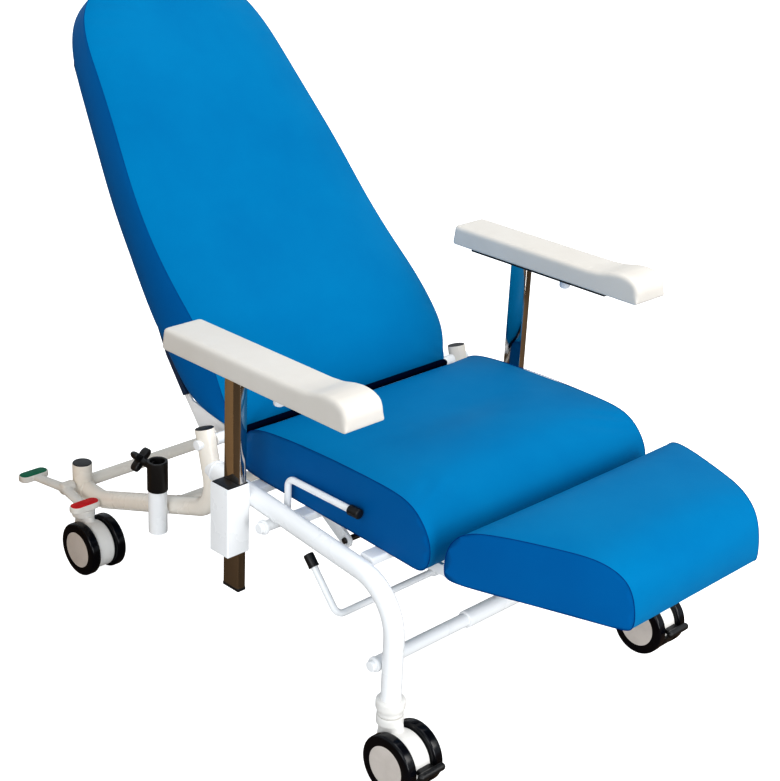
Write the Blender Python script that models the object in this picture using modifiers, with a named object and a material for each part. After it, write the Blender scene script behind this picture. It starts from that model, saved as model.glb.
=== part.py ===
"""Patient rest chair: white tube frame on four twin-wheel casters, reclining back,
folding legrest, height-adjustable arms, foot brakes and a pole holder.

Metres, +Z up, the floor at z = 0, the front of the chair towards -Y.
The occupant's right is -X.
"""
import math

import bmesh
import bpy
from mathutils import Matrix, Vector

# Clearances
GAP = 0.0003
# How far a cutter runs past what it cuts
OVERRUN = 0.02
RUNNING = 0.0004
SWING = 0.0010
# Step between the faces of two forms joined into one piece
STEP = 0.0004

# Widths: the frame stands outside the seat by these margins
SEAT_HALF_WIDTH = 0.2575
FRONT_LEG_MARGIN = 0.0495
REAR_POST_MARGIN = 0.0395
SLOPE_END_MARGIN = 0.0140
CASTER_POST_MARGIN = 0.0105
BACK_LEVER_MARGIN = 0.0130
LEG_LEVER_MARGIN = 0.0375
HINGE_INSET = 0.0575
HANGER_INSET = 0.0325
FRONT_LEG_X = SEAT_HALF_WIDTH + FRONT_LEG_MARGIN
REAR_POST_X = SEAT_HALF_WIDTH + REAR_POST_MARGIN
SLOPE_END_X = SEAT_HALF_WIDTH + SLOPE_END_MARGIN
CASTER_POST_X = SEAT_HALF_WIDTH + CASTER_POST_MARGIN

# Frame tubes
TUBE_RADIUS = 0.016
TUBE_SIDES = 16
FRONT_LEG_Y = -0.354
RAIL_CORNER_Z = 0.320
RAIL_RISE = 0.0860
RAIL_BEND = 0.085
RAIL_END_Z = 0.356
COLLAR_RADIUS = 0.023
COLLAR_HEIGHT = 0.035
COLLAR_EDGE = 0.003
COLLAR_STEP_TOP = 0.0217
COLLAR_STEP_LOW = 0.0196
POST_TOP_Y = 0.1017
POST_TOP_Z = 0.4207
POST_LEAN = 0.267
POST_FOOT_Z = 0.290
POST_BEND = 0.060
SLOPE_END_Y = 0.425
SLOPE_END_Z = 0.157
SLOPE_BEND = 0.080
CASTER_POST_Y = 0.492
CASTER_POST_RADIUS = 0.018
CASTER_POST_TOP_Z = 0.206

# Cross members
REAR_CROSS_RADIUS = 0.011
REAR_CROSS_WALL = 0.0025
MID_CROSS_Y = 0.200
MID_CROSS_RADIUS = 0.010
FRONT_CROSS_Z = 0.190
FRONT_CROSS_RADIUS = 0.011
FRONT_SLEEVE_RADIUS = 0.014
FRONT_SLEEVE_HALF = 0.085
BOLT_COLLAR_RADIUS = 0.015
BOLT_COLLAR_WIDTH = 0.006
BOLT_HEAD_RADIUS = 0.0100
BOLT_HEAD_LENGTH = 0.009
PIVOT_Z = 0.397
PIVOT_TUBE_RADIUS = 0.010
PIVOT_NECK_RADIUS = 0.006
BAR_WIDTH = 0.028
BAR_HEIGHT = 0.014
BAR_EDGE = 0.002
BAR_REAR_Y = 0.000
BAR_MIDDLE_Y = -0.112
BAR_FRONT_Y = -0.270

# Seat
SEAT_REAR_Y = 0.046
SEAT_UNDER_Z = 0.3513
SEAT_UNDER_SLOPE = 0.0368
SEAT_BOARD_THICKNESS = 0.012
SEAT_BOARD_INSET = 0.022
SEAT_BOARD_FRONT_Y = -0.312
SEAT_CROWN = 0.007

# Back, measured along the back and behind its front plane
BACK_RECLINE_DEG = 40.0
BACK_PIVOT_ALONG = -0.052
BACK_PIVOT_BEHIND = 0.020
BACK_LENGTH = 0.773
BACK_WIDTH_MARGIN = 0.0165
BACK_LIP = 0.062
BACK_LIP_ROOT = 0.036
BACK_THICKNESS = 0.070
BACK_DEPTH = 0.086
BACK_TOP_ROUND = 0.014
BACK_CROWN = 0.018
BACK_SEAM_BEHIND = 0.006
BACK_PLUMP_LENGTH = 0.10
BACK_BOARD_THICKNESS = 0.010
BACK_BOARD_INSET = 0.014
BACK_POCKET_ROOM = 0.0006
BACK_BOARD_START = 0.045
BACK_BOARD_END = BACK_LENGTH - 0.083
BRACKET_INSET = 0.0125
BRACKET_X = SEAT_HALF_WIDTH - BRACKET_INSET
BRACKET_THICKNESS = 0.004
BRACKET_HUB_RADIUS = 0.015
BRACKET_DEPTH = 0.014
BRACKET_TOP_ALONG = 0.095
BRACKET_LOW_ALONG = -0.012
BRACKET_LEAD = 0.012
BRACKET_HUB_FROM_DEG = 150.0
BRACKET_HUB_TO_DEG = 340.0

# Gas springs and what holds them
ANCHOR_Y = -0.162
ANCHOR_Z = 0.300
ANCHOR_RADIUS = 0.005
HANGER_X = SEAT_HALF_WIDTH - HANGER_INSET
HANGER_RADIUS = 0.012
HANGER_THICKNESS = 0.006
SPRING_X = 0.050
SPRING_RADIUS = 0.013
SPRING_BORE_PLAY = 0.0004
SPRING_ROD_RADIUS = 0.005
ROD_END = 0.006
SPRING_EYE_RADIUS = 0.011
SPRING_EYE_WIDTH = 0.018
SPRING_FLOOR = 0.016
SPRING_PIN_RADIUS = 0.004
SLOT_PLAY = 0.003
CRANK_OFFSET = 0.014
CRANK_THICKNESS = 0.006
CRANK_RADIUS = 0.0135
BACK_CRANK_ARM = 0.056
BACK_CYLINDER_LENGTH = 0.130
BACK_ROD_LENGTH = 0.200
BACK_SPRING_REST_DEG = 7.5
BACK_SPRING_SWEEP_DEG = 32.5
LEG_CYLINDER_LENGTH = 0.120
LEG_ROD_LENGTH = 0.162
LEG_SPRING_SWEEP_DEG = 40.0

# Legrest
LEG_HINGE_Y = -0.387
LEG_HINGE_Z = 0.340
LEG_REAR_Y = -0.4015
LEG_FRONT_Y = -0.662
LEG_UNDER_Z = 0.340
LEG_REAR_HALF_WIDTH = SEAT_HALF_WIDTH
LEG_FRONT_HALF_WIDTH = 0.148
LEG_BOARD_THICKNESS = 0.010
LEG_BOARD_INSET = 0.024
LEG_CROWN = 0.006
HINGE_X = LEG_REAR_HALF_WIDTH - HINGE_INSET
HINGE_PLATE_THICKNESS = 0.006
HINGE_PIN_RADIUS = 0.005
HINGE_EYE_RADIUS = 0.011
HINGE_PLATE_HEIGHT = 0.018
EAR_HEIGHT = 0.014
EAR_DROP = 0.002
EAR_FOOT_LENGTH = 0.045
EAR_FOOT_REAR = 0.002
TAB_ROOT_AHEAD = 0.020
TAB_ROOT_BELOW = 0.008
HINGE_STRIP_START = 0.030
HINGE_ARM_START = 0.040

# Release levers
LEVER_ROD_RADIUS = 0.0057
LEVER_BEND = 0.014
LEVER_PIVOT_Y = -0.0735
LEVER_PIVOT_RADIUS = 0.009
LEVER_HUB_RADIUS = 0.014
LEVER_HUB_WIDTH = 0.012
BACK_LEVER_X = SEAT_HALF_WIDTH + BACK_LEVER_MARGIN
BACK_LEVER_TOP_Z = 0.389
BACK_LEVER_TIP_Y = -0.233
LEG_LEVER_X = SEAT_HALF_WIDTH + LEG_LEVER_MARGIN
LEG_LEVER_Y = -0.2283
LEG_LEVER_Z = 0.2273
LEG_LEVER_RISE_DEG = 41.5
LEG_LEVER_ARM = 0.100
LEG_LEVER_INNER_X = 0.070
LEG_BUSH_RADIUS = 0.011
LEG_BUSH_WIDTH = 0.016

# Arms
ARM_Y = -0.0138
POST_WIDTH = 0.016
POST_DEPTH = 0.038
POST_LENGTH = 0.375
POST_EDGE = 0.0025
SLEEVE_WIDTH = 0.045
SLEEVE_DEPTH = 0.045
SLEEVE_WALL = 0.0025
SLEEVE_EDGE = 0.002
SLEEVE_BOTTOM_Z = 0.260
SLEEVE_TOP_Z = 0.380
GUIDE_HEIGHT = 0.030
GUIDE_LIP = 0.0012
GUIDE_WALL = 0.0012
ARM_UNDER_Z = {"right": 0.5687, "left": 0.6126}
PAD_WIDTH = 0.074
PAD_REAR_Y = 0.118
PAD_FRONT_Y = -0.296
PAD_HEIGHT = 0.031
PAD_NOSE_HEIGHT = 0.050
PAD_NOSE_LENGTH = 0.085
PAD_EDGE = 0.007
PLATE_REAR_Y = 0.057
PLATE_FRONT_Y = -0.248
PLATE_WIDTH = 0.050
PLATE_THICKNESS = 0.003
BUTTON_Y = -0.114
BUTTON_RADIUS = 0.0093
BUTTON_DROP = 0.016
BUTTON_EDGE = 0.003
BUTTON_TRAVEL = 0.004

# Pole holder
POLE_Y = 0.1965
SOCKET_RADIUS = 0.016
SOCKET_BORE_RADIUS = 0.0128
SOCKET_BOTTOM_Z = 0.2024
SOCKET_TOP_Z = 0.280
CLAMP_RADIUS = 0.0175
CLAMP_TOP_Z = 0.334
KNOB_Z = 0.324
KNOB_RADIUS = 0.0145
KNOB_LOBE = 0.0060
KNOB_LOBES = 4
KNOB_STEM_RADIUS = 0.005
KNOB_STEM_LENGTH = 0.020
KNOB_THICKNESS = 0.016
KNOB_EDGE = 0.003

# Casters
WHEEL_RADIUS = 0.050
WHEEL_WIDTH = 0.020
WHEEL_EDGE = 0.004
WHEEL_CENTRE_X = 0.028
WHEEL_SIDES = 28
CASTER_TRAIL = 0.031
CASTER_TOP_Z = 0.1055
HOUSING_RADIUS = 0.043
NECK_RADIUS = 0.0213
NECK_HEIGHT = 0.005
NECK_CHAMFER = 0.0015
NECK_LOWER_RADIUS = 0.0155
AXLE_RADIUS = 0.005
BRAKE_NOTCH_HALF = 0.012
FRONT_BRAKE_REACH = 0.092
FRONT_BRAKE_PIVOT = 0.036
FRONT_BRAKE_PIN_RADIUS = 0.003
FRONT_BRAKE_BOSS = 0.006
FRONT_BRAKE_RISE = 0.006
FRONT_BRAKE_DROP = 0.002
FRONT_BRAKE_THICKNESS = 0.007

# Rear foot brake
BRAKE_Z = 0.165
BRAKE_BAR_RADIUS = 0.005
PEDAL_HUB_RADIUS = 0.0118
PEDAL_HUB_LENGTH = 0.028
PEDAL_ARM_WIDTH = 0.018
PEDAL_ARM_HEIGHT = 0.011
PEDAL_ARM_INSET = 0.002
PEDAL_REACH = 0.081
PEDAL_PAD_LENGTH = 0.058
PEDAL_PAD_CLEAR = 0.008
PEDAL_PAD_WIDTH = 0.026
PEDAL_PAD_HEIGHT = 0.012

SIDES = (("right", -1.0), ("left", 1.0))

# Places of a cushion's rings across its half width, and how sharp its sewn edges stay
CUSHION_SHARES = (-1.0, -0.93, -0.65, -0.25, 0.25, 0.65, 0.93, 1.0)
PANEL_CREASE = 0.85
BAND_CREASE = 0.40
REAR_CREASE = 0.5

# Side outline of the seat at its seam: forward place and height over the underside
SEAT_OUTLINE = (
    (0.046, 0.006),
    (0.040, 0.000),
    (-0.100, 0.000),
    (-0.320, 0.000),
    (-0.352, 0.006),
    (-0.366, 0.026),
    (-0.370, 0.046),
    (-0.362, 0.068),
    (-0.345, 0.090),
    (-0.315, 0.105),
    (-0.240, 0.1045),
    (-0.160, 0.1025),
    (-0.070, 0.0965),
    (0.000, 0.087),
    (0.030, 0.074),
    (0.045, 0.048),
)

# Side outline of the legrest at its seam: forward place and height over the underside
LEGREST_OUTLINE = (
    (-0.4015, 0.010),
    (-0.4100, 0.001),
    (-0.5200, 0.000),
    (-0.6500, -0.004),
    (-0.6690, -0.004),
    (-0.6650, 0.030),
    (-0.6540, 0.066),
    (-0.6310, 0.083),
    (-0.6020, 0.0945),
    (-0.5600, 0.0965),
    (-0.4900, 0.0965),
    (-0.4400, 0.092),
    (-0.4180, 0.082),
    (-0.4040, 0.058),
)

# Outline of the back: shares of the lip's or the back's length, and shares of its half width
BACK_HALF_WIDTH = SEAT_HALF_WIDTH + BACK_WIDTH_MARGIN
LIP_SHARES = ((-1.0, 0.788), (-0.92, 0.883), (-0.645, 0.956))
BACK_SHARES = (
    (0.0, 0.993),
    (0.058, 1.0),
    (0.155, 0.993),
    (0.259, 0.953),
    (0.388, 0.898),
    (0.517, 0.872),
    (0.647, 0.825),
    (0.776, 0.774),
    (0.854, 0.734),
    (0.925, 0.646),
    (0.970, 0.518),
    (0.9935, 0.350),
    (1.0, 0.182),
)
BACK_OUTLINE = [(share * BACK_LIP, wide * BACK_HALF_WIDTH) for share, wide in LIP_SHARES]
BACK_OUTLINE += [(share * BACK_LENGTH, wide * BACK_HALF_WIDTH) for share, wide in BACK_SHARES]

# Rear face of the back: place along it and depth, with a thin lip in front of the shaft
BACK_REAR = (
    (-BACK_LIP, 0.002),
    (-BACK_LIP_ROOT, 0.004),
    (BACK_BOARD_START, 0.066),
    (0.155 * BACK_LENGTH, BACK_DEPTH),
    (0.905 * BACK_LENGTH, BACK_DEPTH),
    (BACK_LENGTH, BACK_DEPTH - BACK_TOP_ROUND),
)

for existing in list(bpy.data.objects):
    bpy.data.objects.remove(existing)

chair = bpy.data.collections.new("patient_rest_chair")
bpy.context.scene.collection.children.link(chair)
cutters = bpy.data.collections.new("cutters")
cutters.hide_render = True
bpy.context.scene.collection.children.link(cutters)


def material(name, colour, roughness, metallic=0.0):
    made = bpy.data.materials.new(name)
    made.use_nodes = True
    shader = made.node_tree.nodes["Principled BSDF"]
    shader.inputs["Base Color"].default_value = (*colour, 1.0)
    shader.inputs["Roughness"].default_value = roughness
    shader.inputs["Metallic"].default_value = metallic
    return made


WHITE_PAINT = material("white_paint", (0.86, 0.86, 0.84), 0.35)
CHROME = material("chrome", (0.75, 0.75, 0.76), 0.08, 1.0)
BARE_STEEL = material("bare_steel", (0.25, 0.25, 0.26), 0.35, 1.0)
BLACK_PLASTIC = material("black_plastic", (0.02, 0.02, 0.02), 0.40)
WHITE_PLASTIC = material("white_plastic", (0.82, 0.82, 0.80), 0.40)
IVORY_FOAM = material("ivory_foam", (0.80, 0.78, 0.73), 0.50)
BLUE_VINYL = material("blue_vinyl", (0.0, 0.19, 0.46), 0.45)
BOARD_WOOD = material("board_wood", (0.45, 0.33, 0.20), 0.60)
WHEEL_RUBBER = material("wheel_rubber", (0.03, 0.03, 0.03), 0.30)


def smooth(made, angle_deg=38.0):
    """Shade a mesh smooth with its real edges kept sharp."""
    made.data.shade_smooth()
    made.data.set_sharp_from_angle(angle=math.radians(angle_deg))


def put(name, mesh, surface=None):
    """Link a mesh as a part with a surface, or as a cutter without one."""
    made = bpy.data.objects.new(name, mesh)
    if surface is None:
        cutters.objects.link(made)
        made.hide_render = True
        made.display_type = "WIRE"
    else:
        chair.objects.link(made)
        made.data.materials.append(surface)
    return made


def joint_at(name, place):
    """An empty on a joint's axis."""
    made = bpy.data.objects.new(name, None)
    made.location = place
    made.empty_display_size = 0.03
    chair.objects.link(made)
    return made


def hang(made, joint):
    """Parent a finished piece to its joint without moving it."""
    made.parent = joint
    made.matrix_parent_inverse = Matrix.Translation(joint.location).inverted()


def cut(target, tool, operation="DIFFERENCE"):
    modifier = target.modifiers.new(operation.lower() + "_" + tool.name, "BOOLEAN")
    modifier.operation = operation
    modifier.solver = "EXACT"
    modifier.object = tool


def round_edges(target, width, segments=2, angle_deg=40.0):
    modifier = target.modifiers.new("round_edges", "BEVEL")
    modifier.width = width
    modifier.segments = segments
    modifier.limit_method = "ANGLE"
    modifier.angle_limit = math.radians(angle_deg)


def box(name, low, high, surface=None):
    """A block between two corners."""
    mesh = bpy.data.meshes.new(name)
    work = bmesh.new()
    low = Vector(low)
    high = Vector(high)
    size = high - low
    spot = Matrix.Translation((low + high) / 2) @ Matrix.Diagonal((*size, 1.0))
    bmesh.ops.create_cube(work, size=1.0, matrix=spot)
    work.to_mesh(mesh)
    work.free()
    return put(name, mesh, surface)


def bar_between(name, start, end, radius, sides=16, surface=None):
    """A round or many-sided bar between two points."""
    start = Vector(start)
    end = Vector(end)
    along = end - start
    turn = along.to_track_quat("Z", "Y").to_matrix().to_4x4()
    mesh = bpy.data.meshes.new(name)
    work = bmesh.new()
    bmesh.ops.create_cone(
        work,
        cap_ends=True,
        segments=sides,
        radius1=radius,
        radius2=radius,
        depth=along.length,
        matrix=Matrix.Translation((start + end) / 2) @ turn,
    )
    work.to_mesh(mesh)
    work.free()
    made = put(name, mesh, surface)
    smooth(made)
    return made


AXIS_TURNS = {
    "X": (0.0, math.pi / 2, 0.0),
    "Y": (-math.pi / 2, 0.0, 0.0),
    "Z": (0.0, 0.0, 0.0),
}


def turned(name, profile, place, axis, surface=None, steps=16, closed=False):
    """A turned shape: radius and height pairs from the top down the outer side."""
    mesh = bpy.data.meshes.new(name)
    points = [(radius, 0.0, height) for radius, height in profile]
    edges = [(k, k + 1) for k in range(len(points) - 1)]
    if closed:
        edges.append((len(points) - 1, 0))
    mesh.from_pydata(points, edges, [])
    made = put(name, mesh, surface)
    made.location = place
    made.rotation_euler = AXIS_TURNS[axis]
    spin = made.modifiers.new("turn", "SCREW")
    spin.steps = steps
    spin.render_steps = steps
    spin.use_merge_vertices = True
    spin.merge_threshold = 0.00001
    spin.use_smooth_shade = True
    return made


def stepped_shaft(name, stations, place, axis, surface=None, steps=16):
    """A solid shaft from pairs of distance along the axis and radius, low end first."""
    profile = [(0.0, stations[-1][0])]
    profile += [(radius, along) for along, radius in reversed(stations)]
    profile.append((0.0, stations[0][0]))
    return turned(name, profile, place, axis, surface, steps)


def filleted(corners, bend, pieces=5):
    """A polyline with every inner corner replaced by an arc."""
    points = [Vector(corners[0])]
    for k in range(1, len(corners) - 1):
        here = Vector(corners[k])
        back = (Vector(corners[k - 1]) - here).normalized()
        ahead = (Vector(corners[k + 1]) - here).normalized()
        half = back.angle(ahead) / 2
        reach = bend[k - 1] / math.tan(half)
        middle = (back + ahead).normalized()
        centre = here + middle * (bend[k - 1] / math.sin(half))
        start = (here + back * reach - centre).normalized()
        end = (here + ahead * reach - centre).normalized()
        for step in range(pieces + 1):
            points.append(centre + bend[k - 1] * start.slerp(end, step / pieces))
    points.append(Vector(corners[-1]))
    return points


def welded(source, name, surface=None):
    """Turn a curve object into a closed mesh part."""
    graph = bpy.context.evaluated_depsgraph_get()
    graph.update()
    mesh = bpy.data.meshes.new_from_object(source.evaluated_get(graph))
    work = bmesh.new()
    work.from_mesh(mesh)
    bmesh.ops.remove_doubles(work, verts=work.verts, dist=0.00005)
    bmesh.ops.recalc_face_normals(work, faces=work.faces)
    work.to_mesh(mesh)
    work.free()
    mesh.transform(source.matrix_world)
    mesh.materials.clear()
    shape = source.data
    bpy.data.objects.remove(source)
    bpy.data.curves.remove(shape)
    return put(name, mesh, surface)


def tube(name, corners, bend, radius, surface=None, sides=TUBE_SIDES):
    """A bent round tube along a path with filleted corners."""
    shape = bpy.data.curves.new(name + "_path", "CURVE")
    shape.dimensions = "3D"
    shape.bevel_depth = radius
    shape.bevel_resolution = (sides - 4) // 2
    shape.use_fill_caps = True
    points = filleted(corners, bend)
    spline = shape.splines.new("POLY")
    spline.points.add(len(points) - 1)
    for spot, point in zip(spline.points, points):
        spot.co = (*point, 1.0)
    source = bpy.data.objects.new(name + "_path", shape)
    cutters.objects.link(source)
    made = welded(source, name, surface)
    smooth(made)
    return made


# Side view placing: the outline's first number runs along Y, the second along Z
SIDE_VIEW = Matrix(((0, 0, 1, 0), (1, 0, 0, 0), (0, 1, 0, 0), (0, 0, 0, 1)))
TOP_VIEW = Matrix.Identity(4)
# Rear view placing: the outline's first number runs along X, the second along Z
REAR_VIEW = Matrix(((1, 0, 0, 0), (0, 0, -1, 0), (0, 1, 0, 0), (0, 0, 0, 1)))


def plate(name, outline, thickness, placing, surface=None, edge=0.0):
    """A flat outline with a thickness, centred on its plane, with rounded edges."""
    shape = bpy.data.curves.new(name + "_outline", "CURVE")
    shape.dimensions = "2D"
    shape.fill_mode = "BOTH"
    shape.extrude = thickness / 2 - edge
    shape.bevel_depth = edge
    shape.bevel_resolution = 1
    shape.offset = -edge
    spline = shape.splines.new("POLY")
    spline.points.add(len(outline) - 1)
    for spot, point in zip(spline.points, outline):
        spot.co = (point[0], point[1], 0.0, 1.0)
    spline.use_cyclic_u = True
    source = bpy.data.objects.new(name + "_outline", shape)
    source.matrix_world = placing
    cutters.objects.link(source)
    made = welded(source, name, surface)
    smooth(made)
    return made


def capsule(first, second, radius, pieces=6):
    """Outline of a strip with round ends around two points."""
    ahead = math.atan2(second[1] - first[1], second[0] - first[0])
    outline = []
    for centre, start in ((second, ahead - math.pi / 2), (first, ahead + math.pi / 2)):
        for step in range(pieces + 1):
            angle = start + math.pi * step / pieces
            outline.append(
                (centre[0] + radius * math.cos(angle), centre[1] + radius * math.sin(angle))
            )
    return outline


def disc(centre, radius, pieces=16):
    turns = [2 * math.pi * step / pieces for step in range(pieces)]
    return [(centre[0] + radius * math.cos(a), centre[1] + radius * math.sin(a)) for a in turns]


def at_x(x):
    return Matrix.Translation((x, 0.0, 0.0)) @ SIDE_VIEW


def cushion(name, rings, crease, surface):
    """A soft form from rings of points, with a seam kept on creased edges."""
    count = len(rings[0])
    points = [point for ring in rings for point in ring]
    faces = []
    for k in range(len(rings) - 1):
        for j in range(count):
            after = (j + 1) % count
            first = k * count
            second = first + count
            faces.append((first + j, first + after, second + after, second + j))
    faces.append(tuple(range(count - 1, -1, -1)))
    last = (len(rings) - 1) * count
    faces.append(tuple(range(last, last + count)))
    mesh = bpy.data.meshes.new(name)
    mesh.from_pydata(points, [], faces)
    work = bmesh.new()
    work.from_mesh(mesh)
    bmesh.ops.recalc_face_normals(work, faces=work.faces)
    work.to_mesh(mesh)
    work.free()
    strength = mesh.attributes.new("crease_edge", "FLOAT", "EDGE")
    for edge in mesh.edges:
        first, second = sorted(edge.vertices)
        strength.data[edge.index].value = crease(
            first // count, first % count, second // count, second % count
        )
    made = put(name, mesh, surface)
    soften = made.modifiers.new("soften", "SUBSURF")
    soften.levels = 1
    soften.render_levels = 1
    made.data.shade_smooth()
    return made


# Frame
POST_RAIL_Y = POST_TOP_Y - POST_LEAN * (POST_TOP_Z - RAIL_END_Z)
POST_FOOT_Y = POST_TOP_Y - POST_LEAN * (POST_TOP_Z - POST_FOOT_Z)
PIVOT_Y = POST_TOP_Y - POST_LEAN * (POST_TOP_Z - PIVOT_Z)


def rail_x(y):
    share = (y - FRONT_LEG_Y) / (POST_RAIL_Y - FRONT_LEG_Y)
    return FRONT_LEG_X + share * (REAR_POST_X - FRONT_LEG_X)


def rail_z(y):
    return RAIL_CORNER_Z + RAIL_RISE * (y - FRONT_LEG_Y)


def slope_point(y):
    share = (y - POST_FOOT_Y) / (SLOPE_END_Y - POST_FOOT_Y)
    x = REAR_POST_X + share * (SLOPE_END_X - REAR_POST_X)
    z = POST_FOOT_Z + share * (SLOPE_END_Z - POST_FOOT_Z)
    return x, z


def seat_under(y):
    return SEAT_UNDER_Z + SEAT_UNDER_SLOPE * y


LEG_FOOT_Z = CASTER_TOP_Z + GAP
for side, sign in SIDES:
    frame = tube(
        "side_frame_" + side,
        (
            (sign * FRONT_LEG_X, FRONT_LEG_Y, LEG_FOOT_Z + COLLAR_HEIGHT / 2),
            (sign * FRONT_LEG_X, FRONT_LEG_Y, RAIL_CORNER_Z),
            (sign * REAR_POST_X, POST_RAIL_Y, rail_z(POST_RAIL_Y)),
        ),
        (RAIL_BEND,),
        TUBE_RADIUS,
        WHITE_PAINT,
    )
    collar = turned(
        "collar_form_" + side,
        (
            (0.0, COLLAR_HEIGHT),
            (COLLAR_RADIUS - COLLAR_EDGE, COLLAR_HEIGHT),
            (COLLAR_RADIUS, COLLAR_HEIGHT - COLLAR_EDGE),
            (COLLAR_RADIUS, COLLAR_STEP_TOP),
            (NECK_RADIUS, COLLAR_STEP_LOW),
            (NECK_RADIUS, 0.0),
            (0.0, 0.0),
        ),
        (sign * FRONT_LEG_X, FRONT_LEG_Y, LEG_FOOT_Z),
        "Z",
        steps=20,
    )
    cut(frame, collar, "UNION")
    post_room = bar_between(
        "post_room_" + side,
        (sign * REAR_POST_X, POST_FOOT_Y, POST_FOOT_Z),
        (sign * REAR_POST_X, POST_TOP_Y, POST_TOP_Z),
        (TUBE_RADIUS + GAP) / math.cos(math.pi / TUBE_SIDES),
        TUBE_SIDES,
    )
    cut(frame, post_room)

    leg = tube(
        "rear_leg_" + side,
        (
            (sign * REAR_POST_X, POST_TOP_Y, POST_TOP_Z),
            (sign * REAR_POST_X, POST_FOOT_Y, POST_FOOT_Z),
            (sign * SLOPE_END_X, SLOPE_END_Y, SLOPE_END_Z),
            (sign * CASTER_POST_X, CASTER_POST_Y, SLOPE_END_Z),
        ),
        (POST_BEND, SLOPE_BEND),
        TUBE_RADIUS,
        WHITE_PAINT,
    )
    post = bar_between(
        "caster_post_form_" + side,
        (sign * CASTER_POST_X, CASTER_POST_Y, LEG_FOOT_Z),
        (sign * CASTER_POST_X, CASTER_POST_Y, CASTER_POST_TOP_Z),
        CASTER_POST_RADIUS,
        TUBE_SIDES,
    )
    cut(leg, post, "UNION")
    reach = 2 * CASTER_POST_RADIUS
    pivot_hole = bar_between(
        "pivot_hole_" + side,
        (sign * (REAR_POST_X - reach), PIVOT_Y, PIVOT_Z),
        (sign * (REAR_POST_X + reach), PIVOT_Y, PIVOT_Z),
        PIVOT_NECK_RADIUS + RUNNING,
        12,
    )
    cut(leg, pivot_hole)
    brake_hole = bar_between(
        "brake_hole_" + side,
        (sign * (CASTER_POST_X - reach), CASTER_POST_Y, BRAKE_Z),
        (sign * (CASTER_POST_X + reach), CASTER_POST_Y, BRAKE_Z),
        BRAKE_BAR_RADIUS + RUNNING,
        12,
    )
    cut(leg, brake_hole)

rear_cross_half = CASTER_POST_X - CASTER_POST_RADIUS - GAP
turned(
    "rear_cross_tube",
    (
        (REAR_CROSS_RADIUS, rear_cross_half),
        (REAR_CROSS_RADIUS, -rear_cross_half),
        (REAR_CROSS_RADIUS - REAR_CROSS_WALL, -rear_cross_half),
        (REAR_CROSS_RADIUS - REAR_CROSS_WALL, rear_cross_half),
    ),
    (0.0, CASTER_POST_Y, BRAKE_Z),
    "X",
    WHITE_PAINT,
    closed=True,
)

mid_x, mid_z = slope_point(MID_CROSS_Y)
slope_narrowing = (REAR_POST_X - SLOPE_END_X) / (SLOPE_END_Y - POST_FOOT_Y)
mid_half = mid_x - TUBE_RADIUS - GAP - slope_narrowing * MID_CROSS_RADIUS - GAP
stepped_shaft(
    "mid_cross_tube",
    ((-mid_half, MID_CROSS_RADIUS), (mid_half, MID_CROSS_RADIUS)),
    (0.0, MID_CROSS_Y, mid_z),
    "X",
    WHITE_PAINT,
)


def bolt_heads(target, start_x, y, z, sides=(1.0, -1.0)):
    """Six-sided bolt heads on the ends of a cross member."""
    for sign in sides:
        head = bar_between(
            target.name + ("_head_left" if sign > 0 else "_head_right"),
            (sign * (start_x - GAP), y, z),
            (sign * (start_x + BOLT_HEAD_LENGTH), y, z),
            BOLT_HEAD_RADIUS,
            6,
        )
        cut(target, head, "UNION")


front_cross_y = FRONT_LEG_Y + TUBE_RADIUS + FRONT_CROSS_RADIUS + GAP
front_collar_x = FRONT_LEG_X + TUBE_RADIUS
front_end_x = front_collar_x + BOLT_COLLAR_WIDTH
front_cross = stepped_shaft(
    "front_cross_tube",
    (
        (-front_end_x, BOLT_COLLAR_RADIUS),
        (-front_collar_x, BOLT_COLLAR_RADIUS),
        (-front_collar_x, FRONT_CROSS_RADIUS),
        (-FRONT_SLEEVE_HALF, FRONT_CROSS_RADIUS),
        (-FRONT_SLEEVE_HALF, FRONT_SLEEVE_RADIUS),
        (FRONT_SLEEVE_HALF, FRONT_SLEEVE_RADIUS),
        (FRONT_SLEEVE_HALF, FRONT_CROSS_RADIUS),
        (front_collar_x, FRONT_CROSS_RADIUS),
        (front_collar_x, BOLT_COLLAR_RADIUS),
        (front_end_x, BOLT_COLLAR_RADIUS),
    ),
    (0.0, front_cross_y, FRONT_CROSS_Z),
    "X",
    WHITE_PAINT,
)
bolt_heads(front_cross, front_end_x, front_cross_y, FRONT_CROSS_Z)

pivot_inner_x = REAR_POST_X - TUBE_RADIUS - GAP
pivot_end_x = REAR_POST_X + TUBE_RADIUS + GAP
pivot_shaft = stepped_shaft(
    "back_pivot_shaft",
    (
        (-pivot_end_x - GAP, PIVOT_NECK_RADIUS),
        (-pivot_inner_x, PIVOT_NECK_RADIUS),
        (-pivot_inner_x, PIVOT_TUBE_RADIUS),
        (pivot_inner_x, PIVOT_TUBE_RADIUS),
        (pivot_inner_x, PIVOT_NECK_RADIUS),
        (pivot_end_x + GAP, PIVOT_NECK_RADIUS),
    ),
    (0.0, PIVOT_Y, PIVOT_Z),
    "X",
    WHITE_PAINT,
)
bolt_heads(pivot_shaft, pivot_end_x + GAP, PIVOT_Y, PIVOT_Z)

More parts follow.
